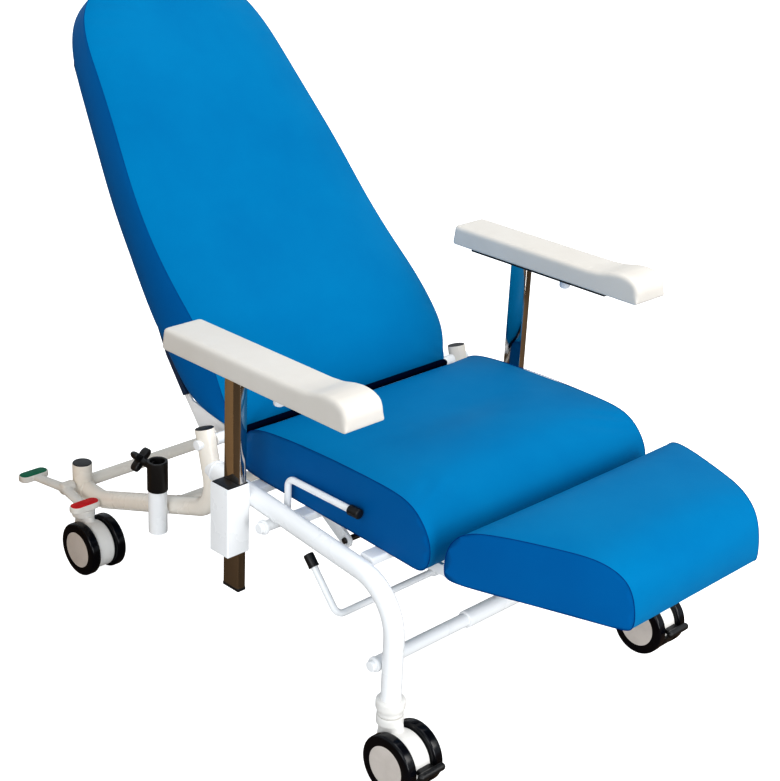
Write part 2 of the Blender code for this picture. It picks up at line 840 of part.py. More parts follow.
lever_pivot_z = rail_z(LEVER_PIVOT_Y) - (TUBE_RADIUS + GAP) * math.hypot(1.0, RAIL_RISE)
lever_pivot_z -= LEVER_PIVOT_RADIUS
lever_collar_x = rail_x(LEVER_PIVOT_Y) + TUBE_RADIUS + GAP
lever_end_x = lever_collar_x + BOLT_COLLAR_WIDTH
lever_inner_x = BACK_LEVER_X - LEVER_HUB_WIDTH / 2 - SWING
lever_pivot = stepped_shaft(
    "lever_pivot_bolt",
    (
        (-lever_end_x, BOLT_COLLAR_RADIUS),
        (-lever_collar_x, BOLT_COLLAR_RADIUS),
        (-lever_collar_x, LEVER_PIVOT_RADIUS),
        (-lever_inner_x, LEVER_PIVOT_RADIUS),
    ),
    (0.0, LEVER_PIVOT_Y, lever_pivot_z),
    "X",
    WHITE_PAINT,
)
bolt_heads(lever_pivot, lever_end_x, LEVER_PIVOT_Y, lever_pivot_z, (-1.0,))


def seat_bar(name, y):
    top = seat_under(y - BAR_WIDTH / 2) - GAP
    half = rail_x(y + BAR_WIDTH / 2) - TUBE_RADIUS - GAP
    made = box(
        name,
        (-half, y - BAR_WIDTH / 2, top - BAR_HEIGHT),
        (half, y + BAR_WIDTH / 2, top),
        WHITE_PAINT,
    )
    round_edges(made, BAR_EDGE, 1)
    return made


seat_bar("seat_bar_rear", BAR_REAR_Y)
middle_bar = seat_bar("seat_bar_middle", BAR_MIDDLE_Y)
seat_bar("seat_bar_front", BAR_FRONT_Y)
front_bar_bottom = seat_under(BAR_FRONT_Y - BAR_WIDTH / 2) - GAP - BAR_HEIGHT
middle_bar_z = seat_under(BAR_MIDDLE_Y - BAR_WIDTH / 2) - GAP - BAR_HEIGHT / 2
for side, sign in SIDES:
    hanger = plate(
        "hanger_form_" + side,
        capsule((BAR_MIDDLE_Y, middle_bar_z - BAR_HEIGHT / 2), (ANCHOR_Y, ANCHOR_Z), HANGER_RADIUS),
        HANGER_THICKNESS,
        at_x(sign * HANGER_X),
    )
    hanger_room = box(
        "hanger_top_" + side,
        (-1.0, -1.0, middle_bar_z),
        (1.0, 1.0, 1.0),
    )
    cut(hanger, hanger_room)
    cut(middle_bar, hanger, "UNION")
anchor_hole = bar_between(
    "anchor_hole",
    (-HANGER_X - OVERRUN, ANCHOR_Y, ANCHOR_Z),
    (HANGER_X + OVERRUN, ANCHOR_Y, ANCHOR_Z),
    ANCHOR_RADIUS + GAP,
    12,
)
cut(middle_bar, anchor_hole)
anchor_half = HANGER_X + HANGER_THICKNESS
stepped_shaft(
    "spring_anchor_axle",
    ((-anchor_half, ANCHOR_RADIUS), (anchor_half, ANCHOR_RADIUS)),
    (0.0, ANCHOR_Y, ANCHOR_Z),
    "X",
    BARE_STEEL,
    12,
)

# Seat
seat_board_half = SEAT_HALF_WIDTH - SEAT_BOARD_INSET
seat_board_rear = SEAT_REAR_Y - SEAT_BOARD_INSET


def seat_slab(name, grow, depth, surface=None):
    """A slab along the sloping underside of the seat."""
    outline = (
        (seat_board_rear + grow, seat_under(seat_board_rear + grow) - depth),
        (seat_board_rear + grow, seat_under(seat_board_rear + grow) + SEAT_BOARD_THICKNESS + grow),
        (SEAT_BOARD_FRONT_Y - grow, seat_under(SEAT_BOARD_FRONT_Y - grow) + SEAT_BOARD_THICKNESS + grow),
        (SEAT_BOARD_FRONT_Y - grow, seat_under(SEAT_BOARD_FRONT_Y - grow) - depth),
    )
    return plate(name, outline, 2 * (seat_board_half + grow), at_x(0.0), surface)


seat_slab("seat_board", 0.0, 0.0, BOARD_WOOD)
seat_pocket = seat_slab("seat_pocket", GAP, OVERRUN)

def seat_ring(share):
    ring = []
    lift = SEAT_CROWN * (1.0 - share**4)
    for y, height in SEAT_OUTLINE:
        top = max(0.0, height - 0.03) / 0.07
        out = max(0.0, (-y - 0.33) / 0.04) * min(1.0, height / 0.04)
        z = seat_under(y) + height + lift * top
        ring.append(Vector((share * SEAT_HALF_WIDTH, y - lift * out, z)))
    return ring


def side_seams(first_ring, first_spot, second_ring, second_spot):
    """Crease for forms whose end rings carry the seam."""
    last = len(CUSHION_SHARES) - 1
    on_end = first_ring == second_ring and first_ring in (0, last)
    return PANEL_CREASE if on_end else 0.0


seat_cushion = cushion(
    "seat_cushion", [seat_ring(share) for share in CUSHION_SHARES], side_seams, BLUE_VINYL
)
cut(seat_cushion, seat_pocket)

# Back
BACK_JOINT = joint_at("back_joint", (0.0, PIVOT_Y, PIVOT_Z))
back_lean = math.radians(BACK_RECLINE_DEG)
BACK_ALONG = Vector((0.0, math.sin(back_lean), math.cos(back_lean)))
BACK_BEHIND = Vector((0.0, math.cos(back_lean), -math.sin(back_lean)))
BACK_CORNER = Vector((0.0, PIVOT_Y, PIVOT_Z)) - BACK_PIVOT_ALONG * BACK_ALONG
BACK_CORNER -= BACK_PIVOT_BEHIND * BACK_BEHIND


def back_point(x, along, behind):
    return BACK_CORNER + Vector((x, 0.0, 0.0)) + along * BACK_ALONG + behind * BACK_BEHIND


def back_side(along, behind):
    """Side-view place of a point given along and behind the back."""
    point = back_point(0.0, along, behind)
    return point.y, point.z


def along_steps(steps, place):
    """A value read off a line of steps."""
    for first, second in zip(steps, steps[1:]):
        if place <= second[0]:
            share = max(0.0, (place - first[0]) / (second[0] - first[0]))
            return first[1] + share * (second[1] - first[1])
    return steps[-1][1]


def back_half_width(along):
    return along_steps(BACK_OUTLINE, along)


def back_ring(along):
    half = back_half_width(along)
    from_end = max(0.0, min(along - BACK_OUTLINE[0][0], BACK_LENGTH - along))
    plump = min(1.0, from_end / BACK_PLUMP_LENGTH) ** 0.5
    crown = BACK_CROWN * (0.25 + 0.75 * plump)
    rear = along_steps(BACK_REAR, along)
    edge = (
        (-0.975, rear),
        (-1.0, rear * 0.55),
        (-0.985, BACK_SEAM_BEHIND),
        (-0.90, -0.55 * crown),
        (-0.45, -crown),
        (0.0, -crown),
        (0.45, -crown),
        (0.90, -0.55 * crown),
        (0.985, BACK_SEAM_BEHIND),
        (1.0, rear * 0.55),
        (0.975, rear),
        (0.40, rear),
        (-0.40, rear),
    )
    return [back_point(share * half, along, behind) for share, behind in edge]


BACK_SEAM_SPOTS = (2, 8)
BACK_REAR_SPOTS = (0, 10)


def back_seams(first_ring, first_spot, second_ring, second_spot):
    if first_spot != second_spot:
        return 0.0
    if first_spot in BACK_SEAM_SPOTS:
        return BAND_CREASE
    return REAR_CREASE if first_spot in BACK_REAR_SPOTS else 0.0


back_cushion = cushion(
    "back_cushion", [back_ring(along) for along, half in BACK_OUTLINE], back_seams, BLUE_VINYL
)

BACK_FLAT = Matrix(
    (
        (1.0, BACK_ALONG.x, -BACK_BEHIND.x, BACK_CORNER.x),
        (0.0, BACK_ALONG.y, -BACK_BEHIND.y, BACK_CORNER.y),
        (0.0, BACK_ALONG.z, -BACK_BEHIND.z, BACK_CORNER.z),
        (0.0, 0.0, 0.0, 1.0),
    )
)
back_board_front = BACK_THICKNESS + GAP
board_stops = [BACK_BOARD_START]
board_stops += [
    along for along, half in BACK_OUTLINE
    if BACK_BOARD_START + BACK_BOARD_THICKNESS < along < BACK_BOARD_END - BACK_BOARD_THICKNESS
]
board_stops.append(BACK_BOARD_END)


def back_slab(name, grow, front, rear, surface=None):
    """A slab in the outline of the back, inset from its edge, between two depths."""
    edge = [(back_half_width(along) - BACK_BOARD_INSET + grow, along) for along in board_stops]
    edge[0] = (edge[0][0], edge[0][1] - grow)
    edge[-1] = (edge[-1][0], edge[-1][1] + grow)
    outline = edge + [(-x, along) for x, along in reversed(edge)]
    placing = BACK_FLAT @ Matrix.Translation((0.0, 0.0, -(front + rear) / 2))
    return plate(name, outline, rear - front, placing, surface)


back_board_rear = back_board_front + BACK_BOARD_THICKNESS
back_board = back_slab("back_board", 0.0, back_board_front, back_board_rear, BOARD_WOOD)
hang(back_board, BACK_JOINT)
board_pocket = back_slab("board_pocket", BACK_POCKET_ROOM, BACK_THICKNESS, BACK_DEPTH + OVERRUN)
cut(back_cushion, board_pocket)
hang(back_cushion, BACK_JOINT)

bracket_front = back_board_rear + GAP
bracket_rear = bracket_front + BRACKET_DEPTH


def bracket_outline():
    """Side outline of a bracket: hub round the pivot, then up behind the board."""
    points = []
    hub = (BACK_PIVOT_ALONG, BACK_PIVOT_BEHIND)
    first = math.radians(BRACKET_HUB_FROM_DEG)
    last = math.radians(BRACKET_HUB_TO_DEG)
    for step in range(9):
        angle = first + (last - first) * step / 8
        points.append(
            (
                hub[0] + BRACKET_HUB_RADIUS * math.sin(angle),
                hub[1] - BRACKET_HUB_RADIUS * math.cos(angle),
            )
        )
    points.append((BACK_BOARD_START - BRACKET_LEAD, bracket_front))
    points.append((BRACKET_TOP_ALONG, bracket_front))
    points.append((BRACKET_TOP_ALONG, bracket_rear))
    points.append((BRACKET_LOW_ALONG, bracket_rear))
    return [back_side(along, behind) for along, behind in points]


for side, sign in SIDES:
    bracket = plate(
        "back_bracket_" + side,
        bracket_outline(),
        BRACKET_THICKNESS,
        at_x(sign * BRACKET_X),
        WHITE_PAINT,
    )
    bracket_bore = bar_between(
        "bracket_bore_" + side,
        (sign * (BRACKET_X - OVERRUN), PIVOT_Y, PIVOT_Z),
        (sign * (BRACKET_X + OVERRUN), PIVOT_Y, PIVOT_Z),
        PIVOT_TUBE_RADIUS + RUNNING,
        16,
    )
    cut(bracket, bracket_bore)
    hang(bracket, BACK_JOINT)

# Gas spring of the back: its line runs from the anchor axle below the pivot
to_pivot = Vector((0.0, PIVOT_Y - ANCHOR_Y, PIVOT_Z - ANCHOR_Z))
back_line = math.atan2(to_pivot.z, to_pivot.y) - math.asin(BACK_CRANK_ARM / to_pivot.length)
back_axis = Vector((0.0, math.cos(back_line), math.sin(back_line)))
back_drop = Vector((0.0, math.sin(back_line), -math.cos(back_line)))
back_foot = math.sqrt(to_pivot.length**2 - BACK_CRANK_ARM**2)
back_pin = back_foot + BACK_CRANK_ARM * math.tan(math.radians(BACK_SPRING_REST_DEG))


def crank_slot(pivot, direction, arm, sweep_deg):
    """Two ends of the slot that a spring's pin runs in."""
    near = pivot + direction * arm
    far = pivot + direction * (arm / math.cos(math.radians(sweep_deg)))
    return (near.y, near.z), (far.y, far.z)


pivot_place = Vector((0.0, PIVOT_Y, PIVOT_Z))
rest_turn = Matrix.Rotation(math.radians(BACK_SPRING_REST_DEG), 3, "X")
crank_direction = rest_turn @ back_drop
slot_near, slot_far = crank_slot(pivot_place, crank_direction, BACK_CRANK_ARM, BACK_SPRING_SWEEP_DEG)
crank_x = SPRING_X + CRANK_OFFSET
crank = plate("back_crank", bracket_outline(), CRANK_THICKNESS, at_x(crank_x), WHITE_PAINT)
crank_arm = plate(
    "crank_arm_form",
    capsule((PIVOT_Y, PIVOT_Z), slot_far, CRANK_RADIUS),
    CRANK_THICKNESS - STEP,
    at_x(crank_x),
)
cut(crank, crank_arm, "UNION")
crank_bore = bar_between(
    "crank_bore",
    (crank_x - OVERRUN, PIVOT_Y, PIVOT_Z),
    (crank_x + OVERRUN, PIVOT_Y, PIVOT_Z),
    PIVOT_TUBE_RADIUS + RUNNING,
    16,
)
cut(crank, crank_bore)
slot_form = plate(
    "crank_slot_form",
    capsule(slot_near, slot_far, SPRING_PIN_RADIUS + SLOT_PLAY),
    CRANK_THICKNESS * 3,
    at_x(crank_x),
)
cut(crank, slot_form)
hang(crank, BACK_JOINT)


def spring_cylinder(name, x, direction, length):
    """A gas spring's cylinder with its eye on the anchor axle."""
    anchor = Vector((x, ANCHOR_Y, ANCHOR_Z))
    start = SPRING_EYE_RADIUS * 0.6
    made = bar_between(
        name, anchor + direction * start, anchor + direction * length, SPRING_RADIUS, 16, BLACK_PLASTIC
    )
    eye = bar_between(
        name + "_eye_form",
        (x - SPRING_EYE_WIDTH / 2, ANCHOR_Y, ANCHOR_Z),
        (x + SPRING_EYE_WIDTH / 2, ANCHOR_Y, ANCHOR_Z),
        SPRING_EYE_RADIUS,
        16,
    )
    cut(made, eye, "UNION")
    hole = bar_between(
        name + "_hole",
        (x - OVERRUN, ANCHOR_Y, ANCHOR_Z),
        (x + OVERRUN, ANCHOR_Y, ANCHOR_Z),
        ANCHOR_RADIUS + GAP,
        12,
    )
    cut(made, hole)
    bore = bar_between(
        name + "_bore",
        anchor + direction * SPRING_FLOOR,
        anchor + direction * (length + OVERRUN),
        SPRING_ROD_RADIUS + SPRING_BORE_PLAY,
        12,
    )
    cut(made, bore)
    return made


def spring_rod(name, x, direction, pin, length, toward):
    """A gas spring's rod with a cross pin that runs in a slot."""
    anchor = Vector((x, ANCHOR_Y, ANCHOR_Z))
    end = anchor + direction * pin
    tip = end + direction * ROD_END
    made = bar_between(name, end - direction * length, tip, SPRING_ROD_RADIUS, 12, CHROME)
    pin_form = bar_between(
        name + "_pin_form",
        (x - toward * SPRING_ROD_RADIUS * 0.5, end.y, end.z),
        (x + toward * (CRANK_OFFSET + CRANK_THICKNESS), end.y, end.z),
        SPRING_PIN_RADIUS,
        12,
    )
    cut(made, pin_form, "UNION")
    hang(made, joint_at(name + "_joint", end))
    return made


spring_cylinder("back_spring_cylinder", SPRING_X, back_axis, BACK_CYLINDER_LENGTH)
spring_rod("back_spring_rod", SPRING_X, back_axis, back_pin, BACK_ROD_LENGTH, 1.0)

# Legrest
LEG_JOINT = joint_at("legrest_joint", (0.0, LEG_HINGE_Y, LEG_HINGE_Z))


def legrest_half_width(y):
    share = (LEG_REAR_Y - y) / (LEG_REAR_Y - LEG_FRONT_Y)
    return LEG_REAR_HALF_WIDTH + share * (LEG_FRONT_HALF_WIDTH - LEG_REAR_HALF_WIDTH)


def legrest_ring(share):
    ring = []
    lift = LEG_CROWN * (1.0 - share**4)
    for y, height in LEGREST_OUTLINE:
        top = max(0.0, height - 0.03) / 0.065
        out = max(0.0, (-y - 0.62) / 0.04) * min(1.0, height / 0.03)
        z = LEG_UNDER_Z + height + lift * top
        ring.append(Vector((share * legrest_half_width(y), y - lift * out, z)))
    return ring


legrest_cushion = cushion(
    "legrest_cushion", [legrest_ring(share) for share in CUSHION_SHARES], side_seams, BLUE_VINYL
)
hang(legrest_cushion, LEG_JOINT)


def legrest_slab(name, grow, bottom, top, surface=None):
    """A tapered slab along the underside of the legrest."""
    rear = LEG_REAR_Y - LEG_BOARD_INSET + grow
    front = LEG_FRONT_Y + LEG_BOARD_INSET - grow
    edge = [(legrest_half_width(y) - LEG_BOARD_INSET + grow, y) for y in (rear, front)]
    outline = edge + [(-x, y) for x, y in reversed(edge)]
    placing = Matrix.Translation((0.0, 0.0, (bottom + top) / 2))
    return plate(name, outline, top - bottom, placing @ TOP_VIEW, surface)


leg_board_top = LEG_UNDER_Z + LEG_BOARD_THICKNESS
leg_pocket = legrest_slab("leg_pocket", GAP, LEG_UNDER_Z - OVERRUN, leg_board_top + GAP)
cut(legrest_cushion, leg_pocket)
legrest_frame = legrest_slab("legrest_frame", 0.0, LEG_UNDER_Z, leg_board_top, BOARD_WOOD)
ear_low_y = LEG_REAR_Y - LEG_BOARD_INSET
ear_x = HINGE_X - HINGE_PLATE_THICKNESS - SWING
for side, sign in SIDES:
    arm = plate(
        "ear_arm_form_" + side,
        capsule(
            (LEG_HINGE_Y, LEG_HINGE_Z - EAR_DROP),
            (ear_low_y, LEG_UNDER_Z - EAR_HEIGHT * 0.75),
            EAR_HEIGHT / 2,
        ),
        HINGE_PLATE_THICKNESS,
        at_x(sign * ear_x),
    )
    eye = plate(
        "ear_eye_form_" + side,
        disc((LEG_HINGE_Y, LEG_HINGE_Z), HINGE_EYE_RADIUS),
        HINGE_PLATE_THICKNESS + STEP,
        at_x(sign * ear_x),
    )
    cut(arm, eye, "UNION")
    foot_half = HINGE_PLATE_THICKNESS / 2 + STEP
    foot = box(
        "ear_foot_form_" + side,
        (sign * ear_x - foot_half, ear_low_y - EAR_FOOT_LENGTH, LEG_UNDER_Z - EAR_HEIGHT),
        (sign * ear_x + foot_half, ear_low_y - EAR_FOOT_REAR, LEG_UNDER_Z + LEG_BOARD_THICKNESS / 2),
    )
    cut(arm, foot, "UNION")
    cut(legrest_frame, arm, "UNION")
    ear_bore = bar_between(
        "ear_bore_" + side,
        (sign * (ear_x - OVERRUN), LEG_HINGE_Y, LEG_HINGE_Z),
        (sign * (ear_x + OVERRUN), LEG_HINGE_Y, LEG_HINGE_Z),
        HINGE_PIN_RADIUS + RUNNING,
        12,
    )
    cut(legrest_frame, ear_bore)

# Gas spring of the legrest: level, at the height of the anchor axle
leg_arm = LEG_HINGE_Z - ANCHOR_Z
leg_axis = Vector((0.0, -1.0, 0.0))
leg_turn = math.radians(LEG_SPRING_SWEEP_DEG)
leg_pin = (ANCHOR_Y - LEG_HINGE_Y) + leg_arm * math.tan(leg_turn)
leg_place = Vector((0.0, LEG_HINGE_Y, LEG_HINGE_Z))
leg_direction = Vector((0.0, -math.sin(leg_turn), -math.cos(leg_turn)))
tab_near, tab_far = crank_slot(leg_place, leg_direction, leg_arm, LEG_SPRING_SWEEP_DEG)
tab_x = -SPRING_X - CRANK_OFFSET
tab = plate(
    "leg_tab_form",
    capsule(tab_far, (ear_low_y - TAB_ROOT_AHEAD, LEG_UNDER_Z - TAB_ROOT_BELOW), CRANK_RADIUS),
    CRANK_THICKNESS,
    at_x(tab_x),
)
tab_room = box("leg_tab_room", (-1.0, -1.0, LEG_UNDER_Z + LEG_BOARD_THICKNESS / 2), (1.0, 1.0, 1.0))
cut(tab, tab_room)
tab_reach = plate(
    "leg_tab_reach_form",
    capsule(tab_near, tab_far, CRANK_RADIUS),
    CRANK_THICKNESS - STEP,
    at_x(tab_x),
)
cut(tab, tab_reach, "UNION")
cut(legrest_frame, tab, "UNION")
tab_slot = plate(
    "leg_tab_slot_form",
    capsule(tab_near, tab_far, SPRING_PIN_RADIUS + SLOT_PLAY),
    CRANK_THICKNESS * 3,
    at_x(tab_x),
)
cut(legrest_frame, tab_slot)
hang(legrest_frame, LEG_JOINT)
spring_cylinder("leg_spring_cylinder", -SPRING_X, leg_axis, LEG_CYLINDER_LENGTH)
spring_rod("leg_spring_rod", -SPRING_X, leg_axis, leg_pin, LEG_ROD_LENGTH, -1.0)

hinge_top = front_bar_bottom - GAP
for side, sign in SIDES:
    strip_z = hinge_top - HINGE_PLATE_HEIGHT / 2
    hinge_plate = box(
        "leg_hinge_bracket_" + side,
        (
            sign * HINGE_X - HINGE_PLATE_THICKNESS / 2,
            LEG_HINGE_Y + HINGE_STRIP_START,
            hinge_top - HINGE_PLATE_HEIGHT,
        ),
        (sign * HINGE_X + HINGE_PLATE_THICKNESS / 2, BAR_FRONT_Y + BAR_WIDTH / 2, hinge_top),
        WHITE_PAINT,
    )
    hinge_arm = plate(
        "hinge_arm_form_" + side,
        capsule(
            (LEG_HINGE_Y + HINGE_ARM_START, strip_z),
            (LEG_HINGE_Y, LEG_HINGE_Z),
            HINGE_PLATE_HEIGHT / 2 - STEP,
        ),
        HINGE_PLATE_THICKNESS - STEP,
        at_x(sign * HINGE_X),
    )
    cut(hinge_plate, hinge_arm, "UNION")
    hinge_pin = bar_between(
        "hinge_pin_form_" + side,
        (sign * HINGE_X, LEG_HINGE_Y, LEG_HINGE_Z),
        (sign * (ear_x - HINGE_PLATE_THICKNESS), LEG_HINGE_Y, LEG_HINGE_Z),
        HINGE_PIN_RADIUS,
        12,
    )
    cut(hinge_plate, hinge_pin, "UNION")

# Release levers, on the occupant's right
back_lever = tube(
    "back_lever",
    (
        (-BACK_LEVER_X, LEVER_PIVOT_Y, lever_pivot_z + LEVER_HUB_RADIUS * 0.8),
        (-BACK_LEVER_X, LEVER_PIVOT_Y, BACK_LEVER_TOP_Z),
        (-BACK_LEVER_X, BACK_LEVER_TIP_Y, BACK_LEVER_TOP_Z),
    ),
    (LEVER_BEND,),
    LEVER_ROD_RADIUS,
    WHITE_PAINT,
    10,
)
lever_hub = bar_between(
    "lever_hub_form",
    (-BACK_LEVER_X - LEVER_HUB_WIDTH / 2, LEVER_PIVOT_Y, lever_pivot_z),
    (-BACK_LEVER_X + LEVER_HUB_WIDTH / 2, LEVER_PIVOT_Y, lever_pivot_z),
    LEVER_HUB_RADIUS,
    16,
)
cut(back_lever, lever_hub, "UNION")
lever_bore = bar_between(
    "lever_bore",
    (-BACK_LEVER_X - LEVER_HUB_WIDTH, LEVER_PIVOT_Y, lever_pivot_z),
    (-BACK_LEVER_X + LEVER_HUB_WIDTH, LEVER_PIVOT_Y, lever_pivot_z),
    LEVER_PIVOT_RADIUS + RUNNING,
    16,
)
cut(back_lever, lever_bore)
hang(back_lever, joint_at("back_lever_joint", (-BACK_LEVER_X, LEVER_PIVOT_Y, lever_pivot_z)))

lever_rise = math.radians(LEG_LEVER_RISE_DEG)
leg_lever = tube(
    "leg_lever",
    (
        (-LEG_LEVER_INNER_X, LEG_LEVER_Y, LEG_LEVER_Z),
        (-LEG_LEVER_X, LEG_LEVER_Y, LEG_LEVER_Z),
        (
            -LEG_LEVER_X,
            LEG_LEVER_Y + LEG_LEVER_ARM * math.cos(lever_rise),
            LEG_LEVER_Z + LEG_LEVER_ARM * math.sin(lever_rise),
        ),
    ),
    (LEVER_BEND,),
    LEVER_ROD_RADIUS,
    WHITE_PAINT,
    10,
)
hang(leg_lever, joint_at("leg_lever_joint", (-LEG_LEVER_X, LEG_LEVER_Y, LEG_LEVER_Z)))

bush_x = -LEG_LEVER_INNER_X - LEG_BUSH_WIDTH
lever_bracket = plate(
    "leg_lever_bracket",
    capsule((BAR_FRONT_Y, front_bar_bottom - LEG_BUSH_RADIUS), (LEG_LEVER_Y, LEG_LEVER_Z), LEG_BUSH_RADIUS),
    HINGE_PLATE_THICKNESS,
    at_x(bush_x),
    WHITE_PAINT,
)
bracket_pad = box(
    "lever_bracket_pad_form",
    (
        bush_x - LEG_BUSH_WIDTH / 2,
        BAR_FRONT_Y - BAR_WIDTH / 2,
        front_bar_bottom - GAP - HINGE_PLATE_THICKNESS,
    ),
    (bush_x + LEG_BUSH_WIDTH / 2, BAR_FRONT_Y + BAR_WIDTH / 2, front_bar_bottom - GAP),
)
cut(lever_bracket, bracket_pad, "UNION")
bush = bar_between(
    "lever_bush_form",
    (bush_x - LEG_BUSH_WIDTH / 2, LEG_LEVER_Y, LEG_LEVER_Z),
    (bush_x + LEG_BUSH_WIDTH / 2, LEG_LEVER_Y, LEG_LEVER_Z),
    LEG_BUSH_RADIUS,
    16,
)
cut(lever_bracket, bush, "UNION")
bush_bore = bar_between(
    "lever_bush_bore",
    (bush_x - LEG_BUSH_WIDTH, LEG_LEVER_Y, LEG_LEVER_Z),
    (bush_x + LEG_BUSH_WIDTH, LEG_LEVER_Y, LEG_LEVER_Z),
    LEVER_ROD_RADIUS + RUNNING,
    12,
)
cut(lever_bracket, bush_bore)
pad_top_room = box("lever_bracket_room", (-1.0, -1.0, front_bar_bottom - GAP), (1.0, 1.0, 1.0))
cut(lever_bracket, pad_top_room)

# Arms
sleeve_inner_x = rail_x(ARM_Y - SLEEVE_DEPTH / 2) + TUBE_RADIUS + GAP
sleeve_outer_x = sleeve_inner_x + SLEEVE_WIDTH
post_inner_x = sleeve_inner_x + SLEEVE_WALL + GUIDE_WALL + 2 * GAP
post_x = post_inner_x + POST_WIDTH / 2
sleeve_front_y = ARM_Y - SLEEVE_DEPTH / 2
sleeve_rear_y = ARM_Y + SLEEVE_DEPTH / 2


def pad_outline(under):
    """Side outline of a pad: straight underside, flat top and a raised round nose."""
    top = under + PAD_HEIGHT
    nose = under + PAD_NOSE_HEIGHT
    rise = PAD_NOSE_HEIGHT - PAD_HEIGHT
    dip_y = PAD_FRONT_Y + PAD_NOSE_LENGTH
    return (
        (PAD_REAR_Y - 0.004, under),
        (PAD_REAR_Y, under + 0.006),
        (PAD_REAR_Y, top - 0.009),
        (PAD_REAR_Y - 0.004, top - 0.002),
        (PAD_REAR_Y - 0.012, top),
        (dip_y, top),
        (dip_y - 0.015, top + rise * 0.20),
        (dip_y - 0.030, top + rise * 0.62),
        (dip_y - 0.044, top + rise * 0.93),
        (dip_y - 0.056, nose),
        (dip_y - 0.068, nose - rise * 0.28),
        (PAD_FRONT_Y + 0.006, nose - rise * 0.95),
        (PAD_FRONT_Y, under + PAD_HEIGHT * 0.55),
        (PAD_FRONT_Y, under + 0.009),
        (PAD_FRONT_Y + 0.006, under),
    )


for side, sign in SIDES:
    under = ARM_UNDER_Z[side]
    arm_joint = joint_at("arm_joint_" + side, (sign * post_x, ARM_Y, SLEEVE_TOP_Z))
    sleeve_xs = sorted((sign * sleeve_inner_x, sign * sleeve_outer_x))
    sleeve = box(
        "arm_sleeve_" + side,
        (sleeve_xs[0], sleeve_front_y, SLEEVE_BOTTOM_Z),
        (sleeve_xs[1], sleeve_rear_y, SLEEVE_TOP_Z),
        WHITE_PAINT,
    )
    round_edges(sleeve, SLEEVE_EDGE, 1)
    cavity = box(
        "sleeve_cavity_" + side,
        (sleeve_xs[0] + SLEEVE_WALL, sleeve_front_y + SLEEVE_WALL, SLEEVE_BOTTOM_Z - OVERRUN),
        (sleeve_xs[1] - SLEEVE_WALL, sleeve_rear_y - SLEEVE_WALL, SLEEVE_TOP_Z + OVERRUN),
    )
    cut(sleeve, cavity)
    inset = SLEEVE_WALL + GAP
    guide = box(
        "sleeve_guide_" + side,
        (sleeve_xs[0] + inset, sleeve_front_y + inset, SLEEVE_TOP_Z - GUIDE_HEIGHT),
        (sleeve_xs[1] - inset, sleeve_rear_y - inset, SLEEVE_TOP_Z + GUIDE_LIP),
        BLACK_PLASTIC,
    )
    guide_room = box(
        "guide_room_" + side,
        (sign * post_x - POST_WIDTH / 2 - GAP, ARM_Y - POST_DEPTH / 2 - GAP, SLEEVE_BOTTOM_Z),
        (sign * post_x + POST_WIDTH / 2 + GAP, ARM_Y + POST_DEPTH / 2 + GAP, SLEEVE_TOP_Z + OVERRUN),
    )
    cut(guide, guide_room)

    plate_top = under - GAP
    plate_bottom = plate_top - PLATE_THICKNESS
    post_top = plate_bottom - GAP
    arm_post = box(
        "arm_post_" + side,
        (sign * post_x - POST_WIDTH / 2, ARM_Y - POST_DEPTH / 2, post_top - POST_LENGTH),
        (sign * post_x + POST_WIDTH / 2, ARM_Y + POST_DEPTH / 2, post_top),
        CHROME,
    )
    round_edges(arm_post, POST_EDGE, 2)
    arm_plate = box(
        "arm_plate_" + side,
        (sign * post_x - PLATE_WIDTH / 2, PLATE_FRONT_Y, plate_bottom),
        (sign * post_x + PLATE_WIDTH / 2, PLATE_REAR_Y, plate_top),
        BLACK_PLASTIC,
    )
    pad = plate(
        "arm_pad_" + side,
        pad_outline(under),
        PAD_WIDTH,
        at_x(sign * post_x),
        IVORY_FOAM,
        PAD_EDGE,
    )
    button_x = sign * post_x
    button_head = plate_bottom - BUTTON_DROP
    button_top = plate_top + GAP
    button = turned(
        "arm_button_" + side,
        (
            (0.0, button_top),
            (BUTTON_RADIUS, button_top),
            (BUTTON_RADIUS, button_head + BUTTON_EDGE),
            (BUTTON_RADIUS - BUTTON_EDGE, button_head),
            (0.0, button_head),
        ),
        (button_x, BUTTON_Y, 0.0),
        "Z",
        WHITE_PLASTIC,
        14,
    )
    button_room = bar_between(
        "button_room_" + side,
        (button_x, BUTTON_Y, plate_bottom - OVERRUN),
        (button_x, BUTTON_Y, button_top + BUTTON_TRAVEL + SWING),
        BUTTON_RADIUS + RUNNING,
        14,
    )
    cut(arm_plate, button_room)
    cut(pad, button_room)
    for piece in (arm_post, arm_plate, pad):
        hang(piece, arm_joint)
    button_joint = joint_at("arm_button_joint_" + side, (button_x, BUTTON_Y, button_head))
    hang(button, button_joint)

# Pole holder on the right sloping tube
slope_x, slope_z = slope_point(POLE_Y)
pole_x = -(slope_x + TUBE_RADIUS + GAP + SOCKET_RADIUS)
turned(
    "pole_socket",
    (
        (SOCKET_RADIUS, SOCKET_TOP_Z - GAP),
        (SOCKET_RADIUS, SOCKET_BOTTOM_Z),
        (SOCKET_BORE_RADIUS, SOCKET_BOTTOM_Z),
        (SOCKET_BORE_RADIUS, SOCKET_TOP_Z - GAP),
    ),
    (pole_x, POLE_Y, 0.0),
    "Z",
    WHITE_PAINT,
    20,
    closed=True,
)
clamp = turned(
    "pole_clamp_sleeve",
    (
        (CLAMP_RADIUS, CLAMP_TOP_Z),
        (CLAMP_RADIUS, SOCKET_TOP_Z),
        (SOCKET_BORE_RADIUS, SOCKET_TOP_Z),
        (SOCKET_BORE_RADIUS, CLAMP_TOP_Z),
    ),
    (pole_x, POLE_Y, 0.0),
    "Z",
    BLACK_PLASTIC,
    20,
    closed=True,
)
knob_axis_z = KNOB_Z - KNOB_STEM_RADIUS
